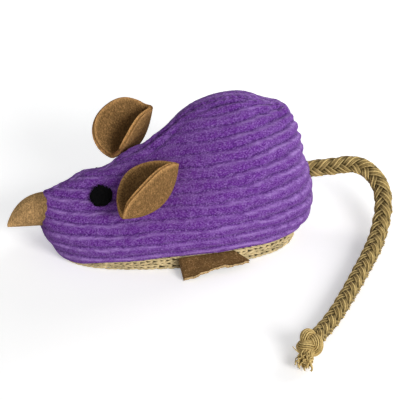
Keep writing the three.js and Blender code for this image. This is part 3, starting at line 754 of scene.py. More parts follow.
def jute(name, light, dark):
    """Dry bast yarn: each yarn has its own tone, with fibres along it, and painted shade in the gaps deep in
    the lay.
    """
    wiring = NodeWiring(name)
    fibres = wiring.noise(1900, 4, roughness=0.7)
    slow = wiring.noise(300, 2)
    own_tone = wiring.maths("MULTIPLY", wiring.value("tone"), 0.55)
    drift = wiring.maths("MULTIPLY", wiring.spread(slow, 0.35, 0.65), 0.45)
    tone = wiring.maths("ADD", own_tone, drift)
    base = wiring.blend(tone, dark, light)
    fine = wiring.blend(wiring.spread(fibres, 0.42, 0.68, 0.0, 0.5), base, shade(light, 1.25))
    streaks = wiring.blend(wiring.spread(fibres, 0.3, 0.45, 0.55, 0.0), fine, shade(dark, 0.6))
    # Painted shade where depth is low: the gaps in the lay, the dark cores and the pad.
    deep = wiring.blend(wiring.spread(wiring.value("depth"), 0.76, 0.97), shade(dark, 0.2), streaks)
    wiring.bump(fibres, 0.55, 0.0004)
    return wiring.finish(deep, 0.85, 0.05, shade(light, 1.6), 0.5)


def seen_directly(tree):
    """Socket that is 1 for what the camera sees, also in a mirror or through glass."""
    path = tree.nodes.new("ShaderNodeLightPath")
    seen = path.outputs["Is Camera Ray"]
    for ray in ("Is Glossy Ray", "Is Transmission Ray"):
        either = tree.nodes.new("ShaderNodeMath")
        either.operation = "MAXIMUM"
        tree.links.new(seen, either.inputs[0])
        tree.links.new(path.outputs[ray], either.inputs[1])
        seen = either.outputs["Value"]
    return seen


def pale_floor():
    """Plain paper with a painted glow that the camera sees: a little brighter, more so behind the mouse,
    where it lifts the mouse's shadow, and far from it.
    """
    wiring = NodeWiring("pale_floor")
    axes = wiring.node("ShaderNodeSeparateXYZ")
    wiring.link(wiring.place, axes.inputs["Vector"])
    away = wiring.node("ShaderNodeVectorMath", operation="LENGTH")
    wiring.link(wiring.place, away.inputs[0])
    # Painted light: the glow grows behind the mouse, over its shadow, and far from it.
    behind = wiring.spread(axes.outputs["Y"], -0.05, 0.05, 0.33, 0.48)
    far = wiring.spread(away.outputs["Value"], 0.15, 0.6, 0.0, 0.5)
    glow = wiring.maths("MULTIPLY", wiring.maths("ADD", behind, far), seen_directly(wiring.tree))
    wiring.link(glow, wiring.shader.inputs["Emission Strength"])
    wiring.shader.inputs["Emission Color"].default_value = FLOOR_GLOW
    wiring.shader.inputs["Base Color"].default_value = FLOOR_PAPER
    wiring.shader.inputs["Roughness"].default_value = 1.0
    wiring.shader.inputs["Specular IOR Level"].default_value = 0.0
    return wiring.material


def soft_filling(name, colour):
    """Loose filling with a slow mottle."""
    wiring = NodeWiring(name)
    tufts = wiring.noise(400, 4)
    base = wiring.blend(wiring.spread(tufts, 0.35, 0.65), shade(colour, 0.8), colour)
    wiring.bump(tufts, 0.6, 0.001)
    return wiring.finish(base, 0.95, 0.2)


def finish_for(name):
    """The material of that name, made the first time it is asked for."""
    made = bpy.data.materials.get(name)
    if made is not None:
        return made
    scene = bpy.context.scene
    tail = scene.mouse_tail
    felts = scene.mouse_felt
    if name == "purple_corduroy":
        return corduroy(scene.mouse_body)
    if name == "ear_felt":
        return felt(name, tuple(felts.brown), shade(felts.brown, 2.8), 0.3, 0.25)
    if name == "foot_felt":
        return felt(name, shade(felts.brown, 0.95), tuple(felts.cream), 0.6, 0.15)
    if name == "tan_felt":
        return felt(name, tuple(felts.tan), shade(felts.tan, 1.7), 0.3, 0.2)
    if name == "eye_felt":
        return felt(name, tuple(felts.black), tuple(felts.black), 0.0, 0.0)
    if name == "rope_jute":
        return jute(name, tuple(tail.straw), tuple(tail.husk))
    if name == "knitted_jute":
        return jute(name, tuple(scene.mouse_base.jute), shade(scene.mouse_base.jute, 0.42))
    if name == "stuffing_fibre":
        return soft_filling(name, (0.78, 0.75, 0.69))
    if name == "pouch_muslin":
        return soft_filling(name, (0.5, 0.44, 0.27))
    raise ValueError(f"no finish is named {name}")


# Pieces of the tail

def catmull_rom(points, steps):
    """Centripetal curve through points, with steps pieces between each two."""
    points = np.asarray(points, float)
    padded = np.concatenate([[2 * points[0] - points[1]], points, [2 * points[-1] - points[-2]]])
    out = []
    for k in range(1, len(padded) - 2):
        p0, p1, p2, p3 = padded[k - 1:k + 3]
        pairs = ((p0, p1), (p1, p2), (p2, p3))
        d0, d1, d2 = (max(1e-4, math.sqrt(np.linalg.norm(b - a))) for a, b in pairs)
        m1 = ((p1 - p0) / d0 - (p2 - p0) / (d0 + d1) + (p2 - p1) / d1) * d1
        m2 = ((p2 - p1) / d1 - (p3 - p1) / (d1 + d2) + (p3 - p2) / d2) * d1
        t = np.arange(steps)[:, None] / steps
        out.append((2 * t ** 3 - 3 * t ** 2 + 1) * p1 + (t ** 3 - 2 * t ** 2 + t) * m1
                   + (3 * t ** 2 - 2 * t ** 3) * p2 + (t ** 3 - t ** 2) * m2)
    return np.concatenate(out + [points[-1:]])


def beside_rump(place):
    return np.array([RUMP_REACH + place[0], place[1], place[2]], float)


def rope_line(step):
    """Middle of the rope from inside the rump to the knot, at even steps."""
    inside = [(-4.0, 0, TAIL_Z), (0.0, 0, TAIL_Z)]
    points = [beside_rump(place) for place in [*inside, *TAIL_ROUTE, KNOT_PLACE]]
    curve = catmull_rom(points, 12)
    total = lengths_along(curve)[-1]
    return resample(curve, np.linspace(0, total, int(total / step) + 1))


def add_braid(bag, line, settings, rng):
    """Adds a round braid over a core painted dark as shade; each strand is a flat bundle of yarns, every
    second one sunk and painted dark as the shade between yarns, and goes over two strands and under two."""
    yarn = settings.yarn / MM / 2
    s = lengths_along(line)
    outer = settings.diameter / MM / 2 * profile(ROPE_TAPER, s / s[-1])
    middle = outer - yarn - BRAID_WAVE
    omega = 2 * math.pi / (settings.lead / MM)
    _, side, top = carried_frames(line)
    slant = np.hypot(1, middle * omega)
    half_count = (settings.yarns - 1) / 2
    for hand in (1, -1):
        for strand in range(STRANDS_EACH_WAY):
            for index in range(settings.yarns):
                off = (index - half_count) * yarn * YARN_SPACING
                sunk = YARN_SINK * (index % 2)
                crest = hand * (-1) ** strand * np.cos(STRANDS_EACH_WAY * omega * s / 2 - hand * math.pi / 4)
                radius = middle + BRAID_WAVE * crest - 0.05 * (off / yarn) ** 2 * yarn - sunk
                turn = hand * omega * s + strand / STRANDS_EACH_WAY * 2 * math.pi + off / (slant * middle)
                place = np.clip(s - hand * middle * omega * off / slant, 0, s[-1])
                centre = resample(line, place)
                out_side = np.stack([np.interp(place, s, side[:, axis]) for axis in range(3)], 1)
                out_top = np.stack([np.interp(place, s, top[:, axis]) for axis in range(3)], 1)
                wobble = 0.05 * np.sin(s * 1.7 + rng.uniform(0, 6.28))
                offset = out_side * np.cos(turn)[:, None] + out_top * np.sin(turn)[:, None]
                path = centre + offset * (radius + wobble)[:, None]
                # A low tone on every second yarn paints the shade between yarns; a low depth paints shade in
                # the crossings.
                tone = rng.uniform(0.6, 1.0) if index % 2 == 0 else rng.uniform(0.05, 0.4)
                add_tube(bag, path, yarn, 6, tone=tone, depth=(radius + yarn - sunk) / outer)
    # Tone and depth of 0 paint the core dark, as shade between the strands.
    add_tube(bag, line, outer - BRAID_WAVE * 2 - yarn, 8, tone=0.0, depth=0.0)


def overhand_line(middle, axis, count):
    """Closed overhand-knot line round a middle, flattened along an axis."""
    turn = np.linspace(0, 2 * math.pi, count, endpoint=False)
    flat = np.stack([np.sin(turn) + 2 * np.sin(2 * turn), np.cos(turn) - 2 * np.cos(2 * turn),
                     -1.9 * np.sin(3 * turn)], 1)
    up = unit(axis)
    side = unit(np.cross(up, (0.31, 0.95, 0.0)))
    return middle + KNOT_SCALE * (flat[:, :1] * side + flat[:, 1:2] * np.cross(up, side) + flat[:, 2:] * up)


def add_knot(bag, middle, axis, yarn, rng):
    """Adds an overhand knot of yarns that lie side by side round its line, every second one painted dark
    as the shade between yarns, over a core painted dark as shade.
    """
    line = overhand_line(middle, axis, 150)
    line = np.concatenate([line, line[:1]])
    _, side, top = carried_frames(line)
    lay = np.linspace(0, 2 * math.pi, len(line))
    for index in range(KNOT_YARNS):
        turn = index / KNOT_YARNS * 2 * math.pi + 2 * lay
        path = line + KNOT_BUNDLE * (side * np.cos(turn)[:, None] + top * np.sin(turn)[:, None])
        # A low tone on every second yarn paints the shade between yarns.
        tone = rng.uniform(0.5, 0.9) if index % 2 == 0 else rng.uniform(0.0, 0.3)
        add_tube(bag, path, yarn / 2, 6, tone=tone, depth=1.0)
    # A low tone and depth paint the core dark, as shade inside the knot.
    add_tube(bag, line, KNOT_BUNDLE - yarn * 0.2, 8, tone=0.2, depth=0.42)


def add_tuft(bag, middle, aim, yarn, rng):
    """Adds frayed yarns that leave the knot, spread out and end cut off, and one stray thread."""
    aim = unit(aim)
    side = unit(np.cross(aim, (0, 0, 1)))
    top = np.cross(side, aim)
    golden = math.pi * (3 - math.sqrt(5))
    t = np.linspace(0, 1, 16)[:, None]
    for index in range(TUFT_YARNS):
        share = math.sqrt((index + 0.5) / TUFT_YARNS)
        turn = index * golden
        out = side * math.cos(turn) * 2.4 + top * math.sin(turn) * 1.7
        length = rng.uniform(*TUFT_LENGTHS)
        drift = side * rng.uniform(-0.8, 0.8) + top * rng.uniform(-0.6, 0.6)
        phase = rng.uniform(0, 6.28)
        curl = side * np.sin(t * 15 + phase) * 0.42 + top * np.cos(t * 13 + phase) * 0.4
        path = middle + aim * (2.0 + length * t) + out * share * (0.8 + 0.25 * t)
        path = path + drift * t ** 2 + curl * t
        path[:, 2] = np.maximum(path[:, 2], 0.6)
        thick = yarn / 2 * rng.uniform(0.6, 0.9)
        # A depth a little below 1 paints slight shade towards the middle of the tuft.
        add_tube(bag, path, thick, 6, tone=rng.uniform(0.0, 1.0), depth=0.92 + 0.08 * share)
    t = np.linspace(0, 1, 8)[:, None]
    stray = middle + aim * 5.2 + np.array([-1.4, 0.3, 0.6]) + t * np.array([-3.0, 0.6, 2.4]) + t ** 2 * 0.4
    add_tube(bag, stray, 0.16, 5, tone=0.2, depth=1.0)


# Operators

class MOUSE_OT_stage(bpy.types.Operator):
    """Sets up the floor, the light and the camera of the photo"""

    bl_idname = "mouse.stage"
    bl_label = "Stage"

    def execute(self, context):
        settings = context.scene.mouse_stage
        self.make_camera(context, settings)
        self.make_floor(context)
        self.make_light(context, settings)
        self.make_sky(context, settings)
        context.scene.view_settings.view_transform = "Standard"
        return {"FINISHED"}

    def make_camera(self, context, settings):
        flat = math.cos(settings.elevation)
        back = Vector((math.sin(settings.azimuth) * flat, -math.cos(settings.azimuth) * flat,
                       math.sin(settings.elevation)))
        right = Vector((math.cos(settings.azimuth), math.sin(settings.azimuth), 0))
        up = back.cross(right)
        pixel = settings.frame_width / PHOTO_PIXELS
        across = PHOTO_PIXELS / 2 - BASE_MIDDLE_PIXEL[0]
        above = BASE_MIDDLE_PIXEL[1] - PHOTO_PIXELS / 2
        aim = right * across * pixel + up * above * pixel
        lens = bpy.data.cameras.new("photo_camera")
        lens.sensor_width = 36
        lens.lens = lens.sensor_width * settings.distance / settings.frame_width
        camera = bpy.data.objects.new("photo_camera", lens)
        camera.location = back * settings.distance
        camera.rotation_euler = (aim - camera.location).to_track_quat("-Z", "Y").to_euler()
        context.scene.collection.objects.link(camera)
        context.scene.camera = camera

    def make_floor(self, context):
        mesh = bpy.data.meshes.new("floor")
        turns = ((-1, -1), (1, -1), (1, 1), (-1, 1))
        corners = [(x * FLOOR_REACH, y * FLOOR_REACH, FLOOR_DROP) for x, y in turns]
        mesh.from_pydata(corners, [], [(0, 1, 2, 3)])
        floor = bpy.data.objects.new("floor", mesh)
        context.scene.collection.objects.link(floor)
        mesh.materials.append(pale_floor())

    def make_light(self, context, settings):
        for name, place, size, share in LAMPS:
            lamp = bpy.data.lights.new(name, "AREA")
            lamp.energy = settings.key_power * share
            lamp.size = size
            light = bpy.data.objects.new(name, lamp)
            light.location = place
            light.rotation_euler = (-Vector(place)).to_track_quat("-Z", "Y").to_euler()
            context.scene.collection.objects.link(light)

    def make_sky(self, context, settings):
        world = bpy.data.worlds.new("studio")
        context.scene.world = world
        world.use_nodes = True
        tree = world.node_tree
        tree.nodes.clear()
        output = tree.nodes.new("ShaderNodeOutputWorld")
        light = tree.nodes.new("ShaderNodeBackground")
        light.inputs["Strength"].default_value = settings.sky_light
        white = tree.nodes.new("ShaderNodeBackground")
        white.inputs["Strength"].default_value = 1.0
        white.inputs["Color"].default_value = (1, 1, 1, 1)
        mix = tree.nodes.new("ShaderNodeMixShader")
        tree.links.new(seen_directly(tree), mix.inputs["Fac"])
        tree.links.new(light.outputs["Background"], mix.inputs[1])
        tree.links.new(white.outputs["Background"], mix.inputs[2])
        tree.links.new(mix.outputs["Shader"], output.inputs["Surface"])


class MOUSE_OT_tail(bpy.types.Operator):
    """Braids the rope tail and ties its knot and tuft"""

    bl_idname = "mouse.tail"
    bl_label = "Tail"

    def execute(self, context):
        settings = context.scene.mouse_tail
        rng = np.random.default_rng(11)
        yarn = settings.yarn / MM
        finish = finish_for("rope_jute")
        middle = beside_rump(KNOT_PLACE)
        line = rope_line(ROPE_STEP)
        rope = MeshBag("tone", "depth")
        add_braid(rope, line, settings, rng)
        tail = rope.build("tail_rope", finish)
        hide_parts("tail_cord", "tail_root")
        knot_bag = MeshBag("tone", "depth")
        add_knot(knot_bag, middle, KNOT_AXIS, yarn, rng)
        knot = knot_bag.build("tail_knot_wraps", finish)
        dress(knot, "tail_knot", "tail")
        tuft_bag = MeshBag("tone", "depth")
        add_tuft(tuft_bag, middle, TUFT_AIM, yarn, rng)
        tuft = tuft_bag.build("tail_frayed_end", finish)
        dress(tuft, "tail_tuft", "tail")
        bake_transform(tail)
        return {"FINISHED"}


class MOUSE_OT_body(bpy.types.Operator):
    """Sews the two corduroy panels over the stuffed body"""

    bl_idname = "mouse.body"
    bl_label = "Body"

    def execute(self, context):
        settings = context.scene.mouse_body
        for side, node in PANELS.items():
            folds = LEFT_FOLDS if side == LEFT else RIGHT_FOLDS
            panel = self.make_panel(settings, side, node + "_cloth", folds)
            dress(panel, node, "mouse_body")
        return {"FINISHED"}

    def make_panel(self, settings, side, name, folds):
        stations = body_stations(CLOTH_STATIONS, 0.6)
        curves = section_curves(0, stations)
        places = np.empty((len(stations), CLOTH_ROWS + 1, 3))
        arc = np.empty((len(stations), CLOTH_ROWS + 1))
        to_seam = np.empty_like(arc)
        for k, curve in enumerate(curves):
            total = lengths_along(curve)[-1]
            arc[k] = np.linspace(0, total, CLOTH_ROWS + 1)
            to_seam[k] = total - arc[k]
            places[k] = resample(curve, arc[k])
        normal = unit(np.cross(np.gradient(places, axis=0), np.gradient(places, axis=1)))
        # The last section is almost a point, so it takes the normals of the one before
        normal[-1] = normal[-2]
        # Ribs, how clearly each place shows them, and how strong the painted highlight on them is there
        pitch = settings.wale_pitch / MM
        x = places[..., 0]
        uneven = 0.05 * np.sin(x * 0.27 + arc * 0.61) + 0.03 * np.sin(x * 0.71 + arc * 1.3)
        phase = (wale_place(x, arc) / pitch + uneven) % 1
        rib = 1 - np.abs(2 * phase - 1) ** 2.3
        at_nose = np.exp(-((x + SNOUT_REACH) / 3.4) ** 2)
        rear = 1 / (1 + np.exp(-(x - 17) / 6))
        head = 1 / (1 + np.exp((x + 22) / 5))
        low = np.exp(-(arc / 16) ** 2)
        marked = np.clip(0.3 + 0.6 * rear + 0.25 * head + 0.35 * low, 0, 1) * (1 - 0.9 * at_nose)
        # Back seam, hem, gathers at the nose, tuck at the tail, and the chest that hangs over the base
        seam = np.exp(-to_seam / 1.3)
        hem = np.exp(-arc / 0.9)
        stitches = np.sin(x * 2 * math.pi / 2.6) * 0.22 * np.exp(-to_seam / 2.2)
        gathers = 0.2 * np.sin(arc * 2 * math.pi / 3.3 + 0.8) * np.exp(-(x + SNOUT_REACH) / 4.0)
        rolled = 0.8 * np.exp(-((x + SNOUT_REACH) / 3.6) ** 2) * np.clip((places[..., 2] - 3.5) / 4, 0, 1)
        to_tail = np.linalg.norm(places - (RUMP_REACH, 0, TAIL_Z), axis=-1)
        tuck = 0.7 * np.exp(-(to_tail / 3.6) ** 2)
        chest = np.exp(-(arc / 3.2) ** 2) / (1 + np.exp((x - CHEST_X) / 2))
        # Height of the cloth over the plain form
        rng = np.random.default_rng(5 if side == LEFT else 6)
        relief = settings.wale_relief / MM * (rib - 0.62) * (marked + 0.5 * rear)
        relief *= 1 - seam
        relief *= 1 - 0.6 * hem
        relief += stuffing_lumps(places * (1, side, 1)) * 0.3
        relief += fold_relief(x, to_seam, folds) + stitches + gathers + rolled - tuck - 0.4 * rear
        relief -= settings.seam_depth / MM * seam + 0.5 * hem - 0.2 * chest
        relief += rng.uniform(-0.05, 0.05, relief.shape)
        outer = places + normal * relief[..., None]
        outer[..., 2] = np.maximum(outer[..., 2] - CHEST_DROP * chest, 0.6)
        inner = places - normal * FABRIC
        for cloth in (outer, inner):
            cloth[..., 1] = np.minimum(cloth[..., 1], -0.1)
            cloth[..., 1] *= -side
        # Painted highlight along the upper side of each rib, strongest at the rear, on the head and low on
        # the flank.
        nap = np.exp(-((phase - 0.76) / 0.12) ** 2) * np.clip(1.4 * marked + 0.35 * head - 0.2, 0, 1)
        return self.close_panel(outer, inner, rib, nap, name, side)

    def close_panel(self, outer, inner, rib, nap, name, side):
        """Joins the outside and the inside of the cloth round its edge."""
        rows, columns = outer.shape[:2]
        flip = side == RIGHT
        count = rows * columns
        faces = grid_faces(rows, columns, flip=flip)
        faces += grid_faces(rows, columns, flip=not flip, start=count)
        border = felt_faces(rows, columns)[1]
        for k, (i, j) in enumerate(border):
            i2, j2 = border[(k + 1) % len(border)]
            a = i * columns + j
            b = i2 * columns + j2
            face = (b, a, count + a, count + b)
            faces.append(face[::-1] if flip else face)
        bag = MeshBag("rib", "nap")
        lining = np.zeros(count)
        places = np.concatenate([outer.reshape(-1, 3), inner.reshape(-1, 3)])
        ribs = np.concatenate([rib.reshape(-1), lining])
        naps = np.concatenate([nap.reshape(-1), lining])
        bag.add(places, faces, rib=ribs, nap=naps)
        return bag.build(name, finish_for("purple_corduroy"))


class MOUSE_OT_base(bpy.types.Operator):
    """Knits the jute base, with rows of stitches round its rim"""

    bl_idname = "mouse.base"
    bl_label = "Base"

    def execute(self, context):
        settings = context.scene.mouse_base
        bag = MeshBag("tone", "depth")
        self.add_pad(bag)
        self.add_stitches(bag, settings)
        base = bag.build("knitted_base", finish_for("knitted_jute"))
        dress(base, "base_panel", "mouse_body")
        return {"FINISHED"}

    def add_pad(self, bag):
        """Flat pad inside the ring of stitches, painted dark as the shade seen between them."""
        outline = seam_outline(0.9)
        rings = []
        for x in outline.stations(70):
            half = float(outline.width(x))
            top = float(base_top(0, x)) - 0.2
            edge = min(0.9, half)
            low = min(0.2, half)
            left = [(-half + low, 0.0), (-half, low), (-half, top - edge / 2), (-half + edge, top)]
            ring = [(x, y, z) for y, z in left] + [(x, -y, z) for y, z in left[::-1]]
            rings.append(ring)
        rings = np.array(rings)
        faces = grid_faces(len(rings), 8, closed=True)
        # A low tone and depth paint the pad dark, as shade between the stitches.
        bag.add(rings, faces, tone=0.1, depth=0.78)

    def add_stitches(self, bag, settings):
        """Chains of stitches along the rim: two slanted yarns to a stitch, which meet in the chain's
        middle."""
        outline = seam_outline(0.0)
        x = outline.stations(500)
        left = np.stack([x, -outline.width(x), 0 * x], 1)
        loop = np.concatenate([left, (left * (1, -1, 1))[::-1][1:]])
        total = lengths_along(loop)[-1]
        count = int(total / (settings.stitch / MM))
        rng = np.random.default_rng(21)
        share = np.linspace(-0.5, 0.5, 7)
        for row in range(settings.rows):
            for index in range(count):
                for lean in (-1, 1):
                    along = (index + share * 1.5 + rng.uniform(-0.14, 0.14)) / count % 1.0 * total
                    place = resample(loop, along)
                    ahead = resample(loop, np.minimum(along + 0.4, total))
                    run = unit(ahead - resample(loop, np.maximum(along - 0.4, 0)))
                    out = np.stack([run[:, 1], -run[:, 0], 0 * run[:, 0]], 1)
                    slanted = lean * (0.27 - 0.38 * share)
                    up = (row + 0.5 + slanted + rng.uniform(-0.05, 0.05)) / settings.rows
                    height = np.maximum(base_top(0, place[:, 0]), 1.9)
                    thick = np.clip(height / settings.rows * 0.172, 0.24, 0.4) * (1 - 0.9 * share ** 2)
                    swell = -0.35 - 0.55 * np.clip(up, 0, 1) ** 2 + 0.3 * np.cos(math.pi * share)
                    place = place + out * (swell + rng.uniform(-0.1, 0.1))[:, None]
                    low = thick + 0.04
                    place[:, 2] = np.clip(0.1 + up * (height - 0.1), low, np.maximum(height - 0.1, low))
                    add_tube(bag, place, thick, 6, tone=rng.uniform(0.15, 1.0), depth=1.0)


class MOUSE_OT_ears(bpy.types.Operator):
    """Folds the felt ears and sets them on the head"""

    bl_idname = "mouse.ears"
    bl_label = "Ears"

    def execute(self, context):
        settings = context.scene.mouse_felt
        for side, name, ear_set in ((LEFT, "left_ear", LEFT_EAR_SET), (RIGHT, "right_ear", RIGHT_EAR_SET)):
            bag = MeshBag("rim")
            add_felt(bag, self.middle(settings, side, ear_set), settings.thickness / MM, 0.8, 1.0)
            ear = bag.build(name + "_felt", finish_for("ear_felt"))
            dress(ear, name, name + "_flap")
        return {"FINISHED"}

    def middle(self, settings, side, ear_set):
        """Middle of the felt: an oval bent round its sewn fold, with lips that wave a little."""
        p = np.sin(np.linspace(-0.5, 0.5, 61) * math.pi)[:, None] * 0.985
        across = np.linspace(-1, 1, 49)[None]
        far = across > 0
        grow = settings.ear_length / MM / EAR_LENGTH
        reach = np.where(far, ear_set["reach"][1], ear_set["reach"][0]) * grow
        taper = np.where(far, ear_set["taper"][1], ear_set["taper"][0])
        v = ear_set["shift"] + reach * across * (1 - p ** 2) ** taper
        over = v > 0
        spread = np.radians(np.where(over, ear_set["spread"][1], ear_set["spread"][0]))
        bend = EAR_FOLD_RADIUS * (1 - np.exp(-np.abs(v) / EAR_FOLD_RADIUS))
        aside = np.abs(v) * np.sin(spread) + bend * (1 - np.sin(spread))
        along = ear_set["middle"] + p * ear_set["half"]
        skew = np.where(over, ear_set["skew"][1], ear_set["skew"][0]) * np.abs(v)
        wave = 0.3 * np.sin(p * 4.2 + 0.8 + across) * across ** 2
        opened = EAR_BOW * (along * 2 / EAR_CHORD) ** 2 + (np.abs(v) - bend) * np.cos(spread)
        grid = np.stack([along - skew, np.sign(v) * aside + wave, opened], -1)
        a, b, c = (math.radians(angle) for angle in (-side * ear_set["lean"], -ear_set["slope"],
                                                    -side * ear_set["turn"]))
        about_x = np.array([[1, 0, 0], [0, math.cos(a), -math.sin(a)], [0, math.sin(a), math.cos(a)]])
        about_y = np.array([[math.cos(b), 0, math.sin(b)], [0, 1, 0], [-math.sin(b), 0, math.cos(b)]])
        about_z = np.array([[math.cos(c), -math.sin(c), 0], [math.sin(c), math.cos(c), 0], [0, 0, 1]])
        root = on_cloth(ear_set["x"], side * ear_set["out"], EAR_LIFT)
        grid = grid @ (about_z @ about_y @ about_x).T + root
        return self.rest_on_cloth(grid, settings.thickness / MM / 2 + 0.75)

    def rest_on_cloth(self, grid, gap):
        """Pushes what would lie inside the cloth out to a gap above it."""
        x, y = grid[..., 0], grid[..., 1]
        normal = cloth_normal(x, y)
        above = (grid[..., 2] - cloth_height(x, y)) * normal[..., 2]
        return grid + normal * np.maximum(0, gap - above)[..., None]


class MOUSE_OT_feet(bpy.types.Operator):
    """Cuts the felt feet and sews them in along the base"""

    bl_idname = "mouse.feet"
    bl_label = "Feet"

    def execute(self, context):
        settings = context.scene.mouse_felt
        for side, name in ((LEFT, "left_foot"), (RIGHT, "right_foot")):
            bag = MeshBag("rim")
            middle = self.middle(side)
            # The border_rim of -0.6 paints a line of shade along the top's border, above the pale cut edge.
            add_felt(bag, middle if side == RIGHT else middle[::-1], settings.thickness / MM, -0.6, 0.4)
            foot = bag.build(name + "_felt", finish_for("foot_felt"))
            dress(foot, name, name + "_flap")
        return {"FINISHED"}

    def middle(self, side):
        """Middle of the felt from its seam out to its wavy edge, tilted down to the floor."""
        half = FOOT_LENGTH / 2
        share = np.linspace(0, 1, 57)[:, None]
        out = np.linspace(0, 1, 17)[None]
        root_x = -half + (FOOT_LENGTH - FOOT_REAR_SLANT) * share
        edge_x = -half + FOOT_LENGTH * share
        keys = [(-half, FOOT_FRONT_REACH), (-half + 4.5, FOOT_FRONT_REACH * 0.94),
                (FOOT_WAIST_X, FOOT_WAIST_REACH), (4.5, 4.3), (half, FOOT_REAR_REACH)]
        wave = 0.14 * np.sin(edge_x * 1.6 + 0.5) + 0.09 * np.sin(edge_x * 3.7)
        reach = profile(keys, edge_x) + wave
        hinge = float(seam_outline(0).width(FOOT_X)) + CLEARANCE
        tilt = math.asin((FOOT_ROOT_Z - 2 * FOOT_HALF_FELT - FLOOR_GAP) / FOOT_FRONT_REACH)
        inside = 0.9
        along = FOOT_X + root_x + (edge_x - root_x) * out
        forward = -inside + (reach + inside) * out
        droop = 0.2 * np.sin(edge_x * 0.8) * out ** 2 + 0.3 * out * (1 - out)
        y = hinge + forward * math.cos(tilt)
        z = FOOT_ROOT_Z - FOOT_HALF_FELT - forward * math.sin(tilt) + droop
        z = np.maximum(z, FOOT_HALF_FELT + 0.15)
        return np.stack([along, side * y, z], -1)


class MOUSE_OT_face(bpy.types.Operator):
    """Makes the felt nose and the black eyes"""

    bl_idname = "mouse.face"
    bl_label = "Face"

    def execute(self, context):
        settings = context.scene.mouse_felt
        self.make_nose()
        for side, name, out in ((LEFT, "left_eye", LEFT_EYE_OUT), (RIGHT, "right_eye", RIGHT_EYE_OUT)):
            self.make_eye(name, side * out, settings.eye_diameter / MM / 2)
        return {"FINISHED"}

    def make_nose(self):
        rows = 48
        columns = 40
        share = 1 - (np.arange(rows + 1) / rows)[:, None] ** 2
        x = -SNOUT_REACH - NOSE_LENGTH * share + NOSE_ROOT * (1 - share)
        size = (1 - (share * NOSE_TIP) ** NOSE_CURVE[0]) ** (1 / NOSE_CURVE[1])
        turn = (np.arange(columns)[None] + 0.5) / columns * 2 * math.pi - math.pi / 2
        flat = np.where(np.sin(turn) < 0, 0.92, 1.0)
        y = -NOSE_WIDTH / 2 * size * np.cos(turn)
        z = NOSE_Z + NOSE_RISE * share + NOSE_HEIGHT / 2 * size * (1 + np.sin(turn) * flat)
        places = np.stack([x + 0 * y, y, z], -1)
        bag = MeshBag("rim")
        # Painted shade where the nose meets the cloth, turning into painted light towards the tip.
        toned = np.interp(share, [0.37, 0.5, 0.7, 0.88, 1], [-0.6, -0.25, 0.0, 0.3, 0.6]) + 0 * y
        bag.add(places, capped_faces(rows + 1, columns), rim=toned)
        nose = bag.build("felt_nose", finish_for("tan_felt"))
        dress(nose, "nose", "mouse_body")

    def make_eye(self, name, y, radius):
        """Low dome of felt with an uneven edge and short fibres that stand out of it."""
        rng = np.random.default_rng(31 if y < 0 else 32)
        rings = 10
        columns = 48
        turn = np.arange(columns) / columns * 2 * math.pi
        lumps = 0.04 * np.cos(2 * turn) + 0.04 * np.sin(5 * turn + 1) + 0.03 * np.sin(7 * turn)
        edge = radius * (1 + lumps + rng.uniform(-0.03, 0.03, columns))
        root = on_cloth(EYE_X, y, 0.0)
        normal = cloth_normal(np.array(EYE_X), np.array(y))
        side = unit(np.cross((0, 1, 0), normal))
        top = np.cross(normal, side)
        out = side[None] * np.cos(turn)[:, None] + top[None] * np.sin(turn)[:, None]
        share = np.linspace(0.02, 1, rings)
        rise = 0.75 + 0.75 * (1 - share ** 4)
        wide = edge[None, :, None] * share[:, None, None]
        places = root + out[None] * wide + normal * rise[:, None, None]
        skirt = root + out * edge[:, None] - normal * 0.6
        places = np.concatenate([places, skirt[None]])
        bag = MeshBag("rim")
        bag.add(places, capped_faces(rings + 1, columns), rim=0.0)
        for _ in range(EYE_HAIRS):
            angle = rng.uniform(0, 2 * math.pi)
            away = side * math.cos(angle) + top * math.sin(angle)
            start = root + away * radius * 0.93 + normal * rng.uniform(0.4, 1.2)
            tip = start + away * rng.uniform(0.35, 0.75) + normal * rng.uniform(-0.2, 0.3)
            add_tube(bag, np.linspace(start, tip, 3), np.array([0.14, 0.1, 0.03]), 4, rim=0.0)
        eye = bag.build(name + "_felt", finish_for("eye_felt"))
        dress(eye, name, "mouse_body")


